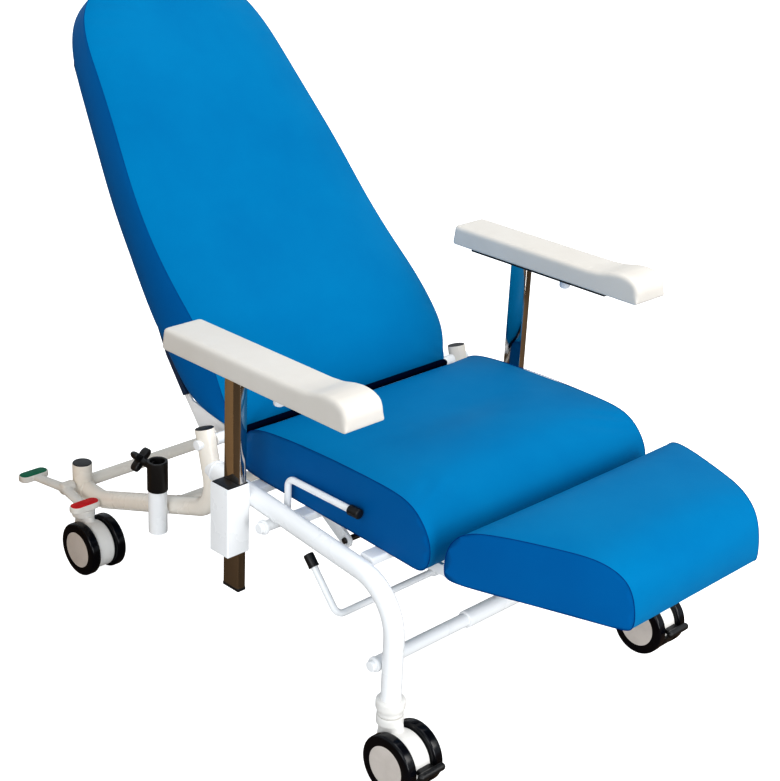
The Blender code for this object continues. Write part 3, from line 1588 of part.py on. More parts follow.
stem_hole = bar_between(
    "clamp_stem_hole",
    (pole_x, POLE_Y, knob_axis_z),
    (pole_x, POLE_Y + CLAMP_RADIUS + OVERRUN, knob_axis_z),
    KNOB_STEM_RADIUS + RUNNING,
    12,
)
cut(clamp, stem_hole)
stem_start = POLE_Y + SOCKET_BORE_RADIUS
knob_start = POLE_Y + CLAMP_RADIUS + KNOB_STEM_LENGTH
star = []
for step in range(32):
    angle = 2 * math.pi * step / 32
    radius = KNOB_RADIUS - KNOB_LOBE * math.cos(KNOB_LOBES * angle)
    star.append((pole_x + radius * math.cos(angle), knob_axis_z + radius * math.sin(angle)))
knob_middle = knob_start + KNOB_THICKNESS / 2
knob = plate(
    "clamp_knob",
    star,
    KNOB_THICKNESS,
    Matrix.Translation((0.0, knob_middle, 0.0)) @ REAR_VIEW,
    BLACK_PLASTIC,
    KNOB_EDGE,
)
stem = bar_between(
    "knob_stem_form",
    (pole_x, stem_start, knob_axis_z),
    (pole_x, knob_middle, knob_axis_z),
    KNOB_STEM_RADIUS,
    12,
)
cut(knob, stem, "UNION")
hang(knob, joint_at("clamp_knob_joint", (pole_x, knob_start, knob_axis_z)))

# Casters
CASTER_SPOTS = (
    ("front_right", -FRONT_LEG_X, FRONT_LEG_Y, True),
    ("front_left", FRONT_LEG_X, FRONT_LEG_Y, True),
    ("rear_right", -CASTER_POST_X, CASTER_POST_Y, False),
    ("rear_left", CASTER_POST_X, CASTER_POST_Y, False),
)
wheel_inner = WHEEL_CENTRE_X - WHEEL_WIDTH / 2
wheel_outer = WHEEL_CENTRE_X + WHEEL_WIDTH / 2
housing_half = wheel_inner - SWING
for name, x, y, braked in CASTER_SPOTS:
    swivel = joint_at("swivel_" + name, (x, y, CASTER_TOP_Z))
    axle_y = y - CASTER_TRAIL
    axle_joint = joint_at("axle_" + name, (x, axle_y, WHEEL_RADIUS))
    housing = plate(
        "caster_housing_" + name,
        disc((axle_y, WHEEL_RADIUS), HOUSING_RADIUS, 28),
        2 * housing_half,
        at_x(x),
        WHITE_PLASTIC,
    )
    neck = turned(
        "neck_form_" + name,
        (
            (0.0, CASTER_TOP_Z),
            (NECK_RADIUS, CASTER_TOP_Z),
            (NECK_RADIUS, CASTER_TOP_Z - NECK_HEIGHT + NECK_CHAMFER),
            (NECK_LOWER_RADIUS, CASTER_TOP_Z - NECK_HEIGHT),
            (NECK_LOWER_RADIUS, WHEEL_RADIUS),
            (0.0, WHEEL_RADIUS),
        ),
        (x, y, 0.0),
        "Z",
        steps=20,
    )
    cut(housing, neck, "UNION")
    axle_bore = bar_between(
        "axle_bore_" + name,
        (x - WHEEL_CENTRE_X, axle_y, WHEEL_RADIUS),
        (x + WHEEL_CENTRE_X, axle_y, WHEEL_RADIUS),
        AXLE_RADIUS + RUNNING,
        14,
    )
    cut(housing, axle_bore)
    wheels = stepped_shaft(
        "caster_wheels_" + name,
        (
            (-wheel_outer, WHEEL_RADIUS - WHEEL_EDGE),
            (-wheel_outer + WHEEL_EDGE, WHEEL_RADIUS),
            (-wheel_inner - WHEEL_EDGE, WHEEL_RADIUS),
            (-wheel_inner, WHEEL_RADIUS - WHEEL_EDGE),
            (-wheel_inner, AXLE_RADIUS),
            (wheel_inner, AXLE_RADIUS),
            (wheel_inner, WHEEL_RADIUS - WHEEL_EDGE),
            (wheel_inner + WHEEL_EDGE, WHEEL_RADIUS),
            (wheel_outer - WHEEL_EDGE, WHEEL_RADIUS),
            (wheel_outer, WHEEL_RADIUS - WHEEL_EDGE),
        ),
        (x, axle_y, WHEEL_RADIUS),
        "X",
        WHEEL_RUBBER,
        WHEEL_SIDES,
    )
    hang(wheels, axle_joint)
    if braked:
        pivot_y = axle_y - FRONT_BRAKE_PIVOT
        pivot_z = WHEEL_RADIUS + FRONT_BRAKE_RISE
        notch = box(
            "brake_notch_" + name,
            (x - BRAKE_NOTCH_HALF, axle_y - 2 * WHEEL_RADIUS, pivot_z - 2.4 * FRONT_BRAKE_BOSS),
            (x + BRAKE_NOTCH_HALF, pivot_y + FRONT_BRAKE_BOSS + SWING, pivot_z + 2.4 * FRONT_BRAKE_BOSS),
        )
        cut(housing, notch)
        pin_hole = bar_between(
            "brake_pin_hole_" + name,
            (x - WHEEL_CENTRE_X, pivot_y, pivot_z),
            (x + WHEEL_CENTRE_X, pivot_y, pivot_z),
            FRONT_BRAKE_PIN_RADIUS + RUNNING,
            12,
        )
        cut(housing, pin_hole)
        lever_half = BRAKE_NOTCH_HALF - SWING
        tongue_y = y - FRONT_BRAKE_REACH + FRONT_BRAKE_THICKNESS / 2
        brake = plate(
            "front_brake_" + name[6:],
            capsule((tongue_y, pivot_z - FRONT_BRAKE_DROP), (pivot_y, pivot_z), FRONT_BRAKE_THICKNESS / 2),
            2 * lever_half,
            at_x(x),
            BLACK_PLASTIC,
        )
        boss = bar_between(
            "brake_boss_form_" + name,
            (x - lever_half, pivot_y, pivot_z),
            (x + lever_half, pivot_y, pivot_z),
            FRONT_BRAKE_BOSS,
            14,
        )
        cut(brake, boss, "UNION")
        brake_pin = bar_between(
            "brake_pin_form_" + name,
            (x - housing_half, pivot_y, pivot_z),
            (x + housing_half, pivot_y, pivot_z),
            FRONT_BRAKE_PIN_RADIUS,
            12,
        )
        cut(brake, brake_pin, "UNION")
        hang(brake, joint_at("front_brake_joint_" + name, (x, pivot_y, pivot_z)))
    hang(housing, swivel)

# Rear foot brake
BRAKE_JOINT = joint_at("brake_joint", (0.0, CASTER_POST_Y, BRAKE_Z))
hub_start = CASTER_POST_X + CASTER_POST_RADIUS + SWING
hub_end = hub_start + PEDAL_HUB_LENGTH
brake_bar = bar_between(
    "brake_bar",
    (-hub_end, CASTER_POST_Y, BRAKE_Z),
    (hub_end, CASTER_POST_Y, BRAKE_Z),
    BRAKE_BAR_RADIUS,
    6,
    BARE_STEEL,
)
hang(brake_bar, BRAKE_JOINT)
for side, sign in SIDES:
    pedal = bar_between(
        "brake_pedal_" + side,
        (sign * hub_start, CASTER_POST_Y, BRAKE_Z),
        (sign * hub_end, CASTER_POST_Y, BRAKE_Z),
        PEDAL_HUB_RADIUS,
        16,
        WHITE_PLASTIC,
    )
    arm_x = sign * (hub_end - PEDAL_ARM_WIDTH / 2 - PEDAL_ARM_INSET)
    rocker = box(
        "pedal_arm_form_" + side,
        (arm_x - PEDAL_ARM_WIDTH / 2, CASTER_POST_Y - PEDAL_REACH, BRAKE_Z - PEDAL_ARM_HEIGHT / 2),
        (arm_x + PEDAL_ARM_WIDTH / 2, CASTER_POST_Y + PEDAL_REACH, BRAKE_Z + PEDAL_ARM_HEIGHT / 2),
    )
    cut(pedal, rocker, "UNION")
    pad_x = sign * (SLOPE_END_X + TUBE_RADIUS + PEDAL_PAD_CLEAR + PEDAL_PAD_LENGTH / 2)
    for end, way in (("front", -1.0), ("rear", 1.0)):
        pad_y = CASTER_POST_Y + way * PEDAL_REACH
        foot_pad = box(
            "pedal_pad_form_" + end + "_" + side,
            (pad_x - PEDAL_PAD_LENGTH / 2, pad_y - PEDAL_PAD_WIDTH / 2, BRAKE_Z - PEDAL_PAD_HEIGHT / 2),
            (pad_x + PEDAL_PAD_LENGTH / 2, pad_y + PEDAL_PAD_WIDTH / 2, BRAKE_Z + PEDAL_PAD_HEIGHT / 2),
        )
        cut(pedal, foot_pad, "UNION")
    bar_bore = bar_between(
        "pedal_bore_" + side,
        (sign * (hub_start - OVERRUN), CASTER_POST_Y, BRAKE_Z),
        (sign * (hub_end + OVERRUN), CASTER_POST_Y, BRAKE_Z),
        BRAKE_BAR_RADIUS + GAP,
        6,
    )
    cut(pedal, bar_bore)
    hang(pedal, BRAKE_JOINT)
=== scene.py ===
import math

import bmesh
import bpy
from mathutils import Matrix, Vector


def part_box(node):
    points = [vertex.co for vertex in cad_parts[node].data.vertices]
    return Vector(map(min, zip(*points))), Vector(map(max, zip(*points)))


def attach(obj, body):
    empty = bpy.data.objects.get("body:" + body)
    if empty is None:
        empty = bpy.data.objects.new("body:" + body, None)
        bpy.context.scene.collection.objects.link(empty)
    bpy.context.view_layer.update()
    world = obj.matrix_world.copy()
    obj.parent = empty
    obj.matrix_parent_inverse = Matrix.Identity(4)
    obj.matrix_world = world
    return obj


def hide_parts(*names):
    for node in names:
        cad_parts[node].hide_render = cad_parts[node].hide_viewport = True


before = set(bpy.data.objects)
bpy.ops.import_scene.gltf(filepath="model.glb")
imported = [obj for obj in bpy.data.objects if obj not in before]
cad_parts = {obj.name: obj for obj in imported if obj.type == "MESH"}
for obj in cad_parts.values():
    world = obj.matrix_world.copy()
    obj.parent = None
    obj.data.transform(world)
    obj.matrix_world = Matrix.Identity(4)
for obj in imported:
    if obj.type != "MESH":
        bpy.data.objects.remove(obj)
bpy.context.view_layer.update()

# Casters: four swivel casters of 100 mm, each with two glossy black tyres on grey hub discs
# and a white moulded hood between them. The stem of the hood sits in the foot of the leg.
# The two at the front have a black brake tongue with a crossbar, hinged over a black guard.


def from_screen(red, green, blue):
    """A colour as read from a screen, 0 to 255, as linear values."""
    linear = []
    for part in (red / 255, green / 255, blue / 255):
        linear.append(part / 12.92 if part <= 0.04045 else ((part + 0.055) / 1.055) ** 2.4)
    return (*linear, 1.0)


def socket_group(name, inputs, outputs):
    """An empty shader group with named sockets, and its two ends."""
    group = bpy.data.node_groups.new(name, "ShaderNodeTree")
    for label, kind in inputs:
        group.interface.new_socket(label, in_out="INPUT", socket_type=kind)
    for label, kind in outputs:
        group.interface.new_socket(label, in_out="OUTPUT", socket_type=kind)
    return group, group.nodes.new("NodeGroupInput"), group.nodes.new("NodeGroupOutput")


def wire(tree, *joins):
    """Link sockets: each join is a node, its output, the next node and its input."""
    for first, output, second, entry in joins:
        tree.links.new(first.outputs[output], second.inputs[entry])


def set_inputs(node, values):
    """Set inputs of a node by their names, written with _ for a space."""
    for label, value in values.items():
        node.inputs[label.replace("_", " ")].default_value = value


def add_node(tree, kind, **values):
    """Add a shader node of a kind with its own values."""
    made = tree.nodes.new("ShaderNode" + kind)
    set_inputs(made, values)
    return made


FLOAT = "NodeSocketFloat"
COLOUR = "NodeSocketColor"

# Slow drift of tone and gloss over a surface, as in paint, moulding and cloth
UNEVEN, ends_in, ends_out = socket_group(
    "uneven_tone",
    (("Light", COLOUR), ("Dark", COLOUR), ("Scale", FLOAT), ("Gloss low", FLOAT), ("Gloss high", FLOAT)),
    (("Colour", COLOUR), ("Roughness", FLOAT)),
)
spot = add_node(UNEVEN, "TexCoord")
drift = add_node(UNEVEN, "TexNoise", Detail=5.0, Roughness=0.6)
spread = add_node(UNEVEN, "MapRange", From_Min=0.3, From_Max=0.7)
blend = add_node(UNEVEN, "Mix")
blend.data_type = "RGBA"
gloss = add_node(UNEVEN, "MapRange")
wire(
    UNEVEN,
    (spot, "Object", drift, "Vector"),
    (ends_in, "Scale", drift, "Scale"),
    (drift, "Fac", spread, "Value"),
    (spread, "Result", blend, "Factor"),
    (ends_in, "Light", blend, "A"),
    (ends_in, "Dark", blend, "B"),
    (spread, "Result", gloss, "Value"),
    (ends_in, "Gloss low", gloss, "To Min"),
    (ends_in, "Gloss high", gloss, "To Max"),
    (blend, "Result", ends_out, "Colour"),
    (gloss, "Result", ends_out, "Roughness"),
)

# Pebbled relief of a moulded or coated skin: cells with a finer noise over them
RELIEF, ends_in, ends_out = socket_group(
    "pebble_relief", (("Scale", FLOAT), ("Cells", FLOAT)), (("Height", FLOAT),)
)
spot = add_node(RELIEF, "TexCoord")
cells = add_node(RELIEF, "TexVoronoi")
cells.feature = "SMOOTH_F1"
fine = add_node(RELIEF, "TexNoise", Detail=3.0)
share = add_node(RELIEF, "Mix")
wire(
    RELIEF,
    (spot, "Object", cells, "Vector"),
    (spot, "Object", fine, "Vector"),
    (ends_in, "Scale", cells, "Scale"),
    (ends_in, "Scale", fine, "Scale"),
    (ends_in, "Cells", share, "Factor"),
    (fine, "Fac", share, "A"),
    (cells, "Distance", share, "B"),
    (share, "Result", ends_out, "Height"),
)

# Rubbed corners: a mask that is high where the surface turns outwards sharply
RUBBED, ends_in, ends_out = socket_group("rubbed_corners", (("Sharpness", FLOAT),), (("Mask", FLOAT),))
bend_of = add_node(RUBBED, "NewGeometry")
above = add_node(RUBBED, "MapRange", From_Min=0.52)
patchy = add_node(RUBBED, "TexNoise", Scale=90.0)
both = add_node(RUBBED, "Math")
both.operation = "MULTIPLY"
spot = add_node(RUBBED, "TexCoord")
wire(
    RUBBED,
    (spot, "Object", patchy, "Vector"),
    (bend_of, "Pointiness", above, "Value"),
    (ends_in, "Sharpness", above, "From Max"),
    (above, "Result", both, 0),
    (patchy, "Fac", both, 1),
    (both, "Value", ends_out, "Mask"),
)


def group_node(tree, group, **values):
    """Place a shader group in a material with its own values."""
    made = add_node(tree, "Group")
    made.node_tree = group
    set_inputs(made, values)
    return made


def material(name, **values):
    """A material and its main shader with some values."""
    made = bpy.data.materials.new(name)
    made.use_nodes = True
    shader = made.node_tree.nodes["Principled BSDF"]
    set_inputs(shader, values)
    return made, shader


def finish(name, slot, light, dark, drift_scale, rough, relief=None, rubbed=None, **constants):
    """A finish: two tones, a gloss range, a relief of (scale, cells, depth) and rubbed corners."""
    made, shader = material(name, **constants)
    made["record_slot"] = slot
    tree = made.node_tree
    tone = group_node(
        tree, UNEVEN, Light=from_screen(*light), Dark=from_screen(*dark), Scale=drift_scale,
        Gloss_low=rough[0], Gloss_high=rough[1],
    )
    wire(tree, (tone, "Roughness", shader, "Roughness"))
    if rubbed:
        mask = group_node(tree, RUBBED, Sharpness=0.62)
        worn = add_node(tree, "Mix")
        worn.data_type = "RGBA"
        worn.inputs["B"].default_value = from_screen(*rubbed)
        wire(
            tree,
            (mask, "Mask", worn, "Factor"),
            (tone, "Colour", worn, "A"),
            (worn, "Result", shader, "Base Color"),
        )
    else:
        wire(tree, (tone, "Colour", shader, "Base Color"))
    if relief:
        skin = group_node(tree, RELIEF, Scale=relief[0], Cells=relief[1])
        bump = add_node(tree, "Bump", Distance=relief[2], Strength=0.5)
        wire(tree, (skin, "Height", bump, "Height"), (bump, "Normal", shader, "Normal"))
    return made


TYRE_RUBBER = finish(
    "tyre_rubber", "wheel_rubber", (12, 13, 20), (7, 8, 12), 60.0, (0.14, 0.24), (700.0, 0.2, 0.0001),
    Specular_IOR_Level=0.3,
)
HUB_GREY = finish(
    "hub_grey", "white_plastic", (214, 205, 197), (200, 191, 183), 25.0, (0.38, 0.5), (1500.0, 0.6, 0.0001)
)
HOOD_WHITE = finish(
    "hood_white", "white_plastic", (240, 238, 234), (232, 229, 224), 22.0, (0.34, 0.46), (1800.0, 0.6, 0.0001)
)
BLACK_MOULDING = finish(
    "black_moulding", "black_plastic", (20, 20, 22), (12, 12, 13), 40.0, (0.34, 0.5), (1400.0, 0.7, 0.00015),
    (44, 44, 46),
)
AXLE_STEEL = finish(
    "axle_steel", "bare_steel", (92, 90, 88), (66, 64, 62), 120.0, (0.28, 0.45), (900.0, 0.1, 0.0001),
    Metallic=0.9,
)


def spin_round(work, profile, centre, axis, steps=56, closed=False):
    """Turn a profile of radius and distance along the axis into a full round form."""
    axis = Vector(axis)
    out = axis.orthogonal().normalized()
    centre = Vector(centre)
    rows = [work.verts.new(centre + out * radius + axis * along) for radius, along in profile]
    lines = [work.edges.new(pair) for pair in zip(rows, rows[1:])]
    if closed:
        lines.append(work.edges.new((rows[-1], rows[0])))
    bmesh.ops.spin(
        work, geom=rows + lines, cent=centre, axis=axis, angle=2 * math.pi, steps=steps, use_merge=True
    )


def eased(corners, radius, pieces=4, closed=False):
    """A flat outline with its corners rounded."""
    points = []
    count = len(corners)
    for k in range(count):
        here = Vector(corners[k])
        if not closed and k in (0, count - 1):
            points.append(tuple(here))
            continue
        before = Vector(corners[k - 1]) - here
        after = Vector(corners[(k + 1) % count]) - here
        reach = min(radius, 0.48 * before.length, 0.48 * after.length)
        start = here + before.normalized() * reach
        end = here + after.normalized() * reach
        for step in range(pieces + 1):
            t = step / pieces
            points.append(tuple(start * (1 - t) ** 2 + here * (2 * t * (1 - t)) + end * t**2))
    return points


def turned(work, corners, radius, centre, axis, steps=56, pieces=4, closed=False):
    """Round the corners of a profile and turn it into a full round form."""
    spin_round(work, eased(corners, radius, pieces, closed), centre, axis, steps, closed)


def as_mesh(name, work):
    """The mesh of a form, which is used up."""
    mesh = bpy.data.meshes.new(name)
    work.to_mesh(mesh)
    work.free()
    return mesh


def placed(name, data):
    """A new object in the scene."""
    made = bpy.data.objects.new(name, data)
    bpy.context.scene.collection.objects.link(made)
    return made


MERGE_REACH = 0.000002


def piece(name, work, surface, body, nodes=(), sharp=36.0):
    """Close a form, give it its finish and put it on a body in place of CAD nodes."""
    bmesh.ops.remove_doubles(work, verts=work.verts, dist=MERGE_REACH)
    bmesh.ops.recalc_face_normals(work, faces=work.faces)
    mesh = as_mesh(name, work)
    mesh.shade_smooth()
    mesh.set_sharp_from_angle(angle=math.radians(sharp))
    mesh.materials.append(surface)
    made = placed(name, mesh)
    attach(made, body)
    if nodes:
        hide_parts(*nodes)
    return made


def evaluated(mesh_or_curve, *modifiers):
    """The mesh of some data after modifiers of (kind, settings), as a bmesh."""
    holder = placed("form", mesh_or_curve)
    for kind, settings in modifiers:
        modifier = holder.modifiers.new(kind.lower(), kind)
        for label, value in settings.items():
            setattr(modifier, label, value)
    graph = bpy.context.evaluated_depsgraph_get()
    graph.update()
    mesh = bpy.data.meshes.new_from_object(holder.evaluated_get(graph))
    bpy.data.objects.remove(holder)
    work = bmesh.new()
    work.from_mesh(mesh)
    bpy.data.meshes.remove(mesh)
    return work


def moulded(work, grain, smoothing):
    """Melt overlapping closed forms into one moulding with soft inner corners."""
    return evaluated(
        as_mesh("moulding", work),
        ("REMESH", {"mode": "VOXEL", "voxel_size": grain}),
        ("SMOOTH", {"iterations": smoothing, "factor": 0.5}),
    )


def round_bar(work, start, end, radius, sides=32):
    """Add a capped round bar between two points."""
    start = Vector(start)
    end = Vector(end)
    along = end - start
    turn = along.to_track_quat("Z", "Y").to_matrix().to_4x4()
    bmesh.ops.create_cone(
        work, cap_ends=True, segments=sides, radius1=radius, radius2=radius, depth=along.length,
        matrix=Matrix.Translation((start + end) / 2) @ turn,
    )


def cross_bar(work, middle, reach, radius, sides=32):
    """Add a round bar across the chair, as far to the left as to the right of its middle."""
    round_bar(work, middle - reach * ACROSS, middle + reach * ACROSS, radius, sides)


def soften(work, rims, offset, segments=3, clamp=False):
    """Round some edges of a form."""
    bmesh.ops.bevel(
        work, geom=rims, offset=offset, segments=segments, profile=0.5, affect="EDGES", material=-1,
        clamp_overlap=clamp,
    )


def block(work, low, high, edge, segments=3):
    """Add a block between two corners with rounded edges."""
    low = Vector(low)
    high = Vector(high)
    spot = Matrix.Translation((low + high) / 2) @ Matrix.Diagonal((*(high - low), 1.0))
    made = bmesh.ops.create_cube(work, size=1.0, matrix=spot)
    rims = list({rim for corner in made["verts"] for rim in corner.link_edges})
    soften(work, rims, edge, segments)


X_AXIS = (1.0, 0.0, 0.0)
Y_AXIS = (0.0, 1.0, 0.0)
Z_AXIS = (0.0, 0.0, 1.0)
ACROSS = Vector(X_AXIS)
WHEEL_RADIUS = 0.050
WHEEL_HALF_WIDTH = 0.010
WHEEL_CENTRE = 0.028
HUB_RADIUS = 0.0412
HOOD_RADIUS = 0.0434
HOOD_HALF_WIDTH = 0.0168
STEM_RADIUS = 0.0213
STEM_TOP = 0.1130
STEM_FOOT = 0.0982
NECK_HEIGHT = 0.045
NECK_MIDDLE = 0.0795
TRAIL = 0.031
GUARD_HALF_WIDTH = 0.0158
GUARD_INNER = 0.0395
GUARD_OUTER = 0.0490
GUARD_START = math.radians(13.0)
GUARD_SWEEP = math.radians(62.0)
TONGUE_PIVOT = Vector((0.0, -0.036, 0.006))
TONGUE_REACH = 0.0600
TONGUE_HALF_WIDTH = 0.0150
CROSSBAR_RADIUS = 0.0062
CROSSBAR_REACH = 0.0210
CASTERS = (
    ("front_right", -0.307, -0.354),
    ("front_left", 0.307, -0.354),
    ("rear_right", -0.268, 0.492),
    ("rear_left", 0.268, 0.492),
)
TYRE_SECTION = (
    (0.0300, -0.0095),
    (0.0422, -WHEEL_HALF_WIDTH),
    (WHEEL_RADIUS, -0.0085),
    (WHEEL_RADIUS, 0.0085),
    (0.0422, WHEEL_HALF_WIDTH),
    (0.0300, 0.0095),
)
HUB_SECTION = ((0.0, 0.0101), (0.0300, 0.0096), (HUB_RADIUS, 0.0090), (HUB_RADIUS, -0.0094), (0.0, -0.0094))
AXLE_SECTION = ((0.0, -0.0182), (0.005, -0.0182), (0.005, 0.0182), (0.0, 0.0182))
HOOD_SECTION = (
    (0.0, -HOOD_HALF_WIDTH),
    (HOOD_RADIUS, -HOOD_HALF_WIDTH),
    (HOOD_RADIUS, HOOD_HALF_WIDTH),
    (0.0, HOOD_HALF_WIDTH),
)
STEM_SECTION = (
    (0.0, STEM_TOP),
    (STEM_RADIUS, STEM_TOP),
    (STEM_RADIUS, STEM_FOOT + 0.0002),
    (0.012, STEM_FOOT),
    (0.0, STEM_FOOT),
)
GUARD_SECTION = (
    (-GUARD_HALF_WIDTH, -GUARD_INNER),
    (GUARD_HALF_WIDTH, -GUARD_INNER),
    (GUARD_HALF_WIDTH, -GUARD_OUTER),
    (-GUARD_HALF_WIDTH, -GUARD_OUTER),
)
for corner, x, y in CASTERS:
    axle = Vector((x, y - TRAIL, WHEEL_RADIUS))
    tyres = bmesh.new()
    hubs = bmesh.new()
    for way in (-1.0, 1.0):
        middle = axle + way * WHEEL_CENTRE * ACROSS
        turned(tyres, TYRE_SECTION, 0.0062, middle, X_AXIS, 72, 6, True)
        face = [(radius, way * along) for radius, along in HUB_SECTION]
        turned(hubs, face, 0.0012, middle, X_AXIS, 72, 3)
    piece("caster_tyres_" + corner, tyres, TYRE_RUBBER, "wheels_" + corner, ("caster_wheels_" + corner,))
    piece("caster_hubs_" + corner, hubs, HUB_GREY, "wheels_" + corner)
    shaft = bmesh.new()
    spin_round(shaft, AXLE_SECTION, axle, X_AXIS, 24)
    piece("caster_axle_" + corner, shaft, AXLE_STEEL, "wheels_" + corner)

    hood = bmesh.new()
    turned(hood, HOOD_SECTION, 0.004, axle, X_AXIS, 72)
    turned(hood, STEM_SECTION, 0.001, (x, y, 0.0), Z_AXIS, 64, 2)
    neck = bmesh.ops.create_cone(
        hood, cap_ends=True, segments=64, radius1=STEM_RADIUS + 0.006, radius2=STEM_RADIUS,
        depth=NECK_HEIGHT, matrix=Matrix.Translation((x, y - 0.004, NECK_MIDDLE)),
    )
    squeeze = HOOD_HALF_WIDTH / (STEM_RADIUS + 0.004)
    bmesh.ops.scale(
        hood, vec=(squeeze, 1.0, 1.0), space=Matrix.Translation((-x, 0.0, 0.0)), verts=neck["verts"]
    )
    bmesh.ops.remove_doubles(hood, verts=hood.verts, dist=MERGE_REACH)
    bmesh.ops.recalc_face_normals(hood, faces=hood.faces)
    piece(
        "caster_hood_" + corner, moulded(hood, 0.0012, 5), HOOD_WHITE, "caster_" + corner,
        ("caster_housing_" + corner,), 60.0,
    )
    if corner.startswith("front"):
        side = corner[6:]
        guard = bmesh.new()
        section = eased(GUARD_SECTION, 0.003, 3, True)
        strip = [guard.verts.new(axle + Vector((along, out, 0.0))) for along, out in section]
        rim = [guard.edges.new((strip[k - 1], strip[k])) for k in range(len(strip))]
        guard.faces.new(strip)
        bmesh.ops.rotate(guard, cent=axle, matrix=Matrix.Rotation(GUARD_START, 3, "X"), verts=guard.verts)
        swept = bmesh.ops.spin(guard, geom=rim, cent=axle, axis=X_AXIS, angle=GUARD_SWEEP, steps=24)
        last_rim = [item for item in swept["geom_last"] if isinstance(item, bmesh.types.BMEdge)]
        bmesh.ops.contextual_create(guard, geom=last_rim)
        piece("brake_guard_" + side, guard, BLACK_MOULDING, "caster_" + corner)

        pivot = axle + TONGUE_PIVOT
        tongue = bmesh.new()
        block(
            tongue,
            (x - TONGUE_HALF_WIDTH, axle.y - TONGUE_REACH, pivot.z - 0.0080),
            (x + TONGUE_HALF_WIDTH, pivot.y - 0.001, pivot.z + 0.0010),
            0.0035,
        )
        cross_bar(tongue, pivot, 0.0108, 0.0058)
        cross_bar(tongue, pivot, 0.0165, 0.003)
        bar_middle = Vector((x, axle.y - TONGUE_REACH, pivot.z + 0.0005))
        cross_bar(tongue, bar_middle, CROSSBAR_REACH, CROSSBAR_RADIUS)
        for end in (-CROSSBAR_REACH, CROSSBAR_REACH):
            bmesh.ops.create_uvsphere(
                tongue, u_segments=24, v_segments=16, radius=CROSSBAR_RADIUS,
                matrix=Matrix.Translation(bar_middle + end * ACROSS),
            )
        piece(
            "brake_tongue_" + side, moulded(tongue, 0.0008, 4), BLACK_MOULDING, "front_brake_" + side,
            ("front_brake_" + side,), 60.0,
        )

# Rear legs: bent steel tube of 32 mm, enamelled white, with a thicker upright post welded on for
# the caster. Black plastic caps close the tops of the tilted post and of the caster post.
# The enamel of the rear tubes is painted cream: a painted reflection of warm room light on white enamel
WARM_LIT_ENAMEL = finish(
    "warm_lit_enamel", "white_paint", (250, 243, 232), (244, 236, 224), 6.0, (0.24, 0.3), (900.0, 0.2, 0.00006),
    Coat_Weight=0.2, Coat_Roughness=0.12,
)


def bent_tube(work, corners, bends, radius, sides=36, pieces=14):
    """Add a round tube along a path whose inner corners are arcs."""
    path = [Vector(corners[0])]
    for k in range(1, len(corners) - 1):
        here = Vector(corners[k])
        before = (Vector(corners[k - 1]) - here).normalized()
        after = (Vector(corners[k + 1]) - here).normalized()
        half = before.angle(after) / 2
        bend = bends[k - 1]
        centre = here + (before + after).normalized() * (bend / math.sin(half))
        start = (here + before * (bend / math.tan(half)) - centre).normalized()
        end = (here + after * (bend / math.tan(half)) - centre).normalized()
        path += [centre + bend * start.slerp(end, step / pieces) for step in range(pieces + 1)]
    path.append(Vector(corners[-1]))
    follow(work, path, radius, sides)


def follow(work, path, radius, sides=36, closed=False):
    """Add a round tube through every point of a path."""
    line = bpy.data.curves.new("tube_line", "CURVE")
    line.dimensions = "3D"
    line.bevel_depth = radius
    line.bevel_resolution = (sides - 4) // 2
    line.use_fill_caps = True
    spline = line.splines.new("POLY")
    spline.points.add(len(path) - 1)
    for spot, point in zip(spline.points, path):
        spot.co = (*point, 1.0)
    spline.use_cyclic_u = closed
    mesh = as_mesh("tube", evaluated(line))
    work.from_mesh(mesh)
    bpy.data.meshes.remove(mesh)
    bpy.data.curves.remove(line)


def weld_bead(work, centre, axis, radius, thick=0.0021):
    """Add a bead of weld round the foot of a tube."""
    section = [
        (radius + thick * math.cos(math.pi * k / 4), thick * math.sin(math.pi * k / 4)) for k in range(8)
    ]
    spin_round(work, section, centre, axis, 40, True)


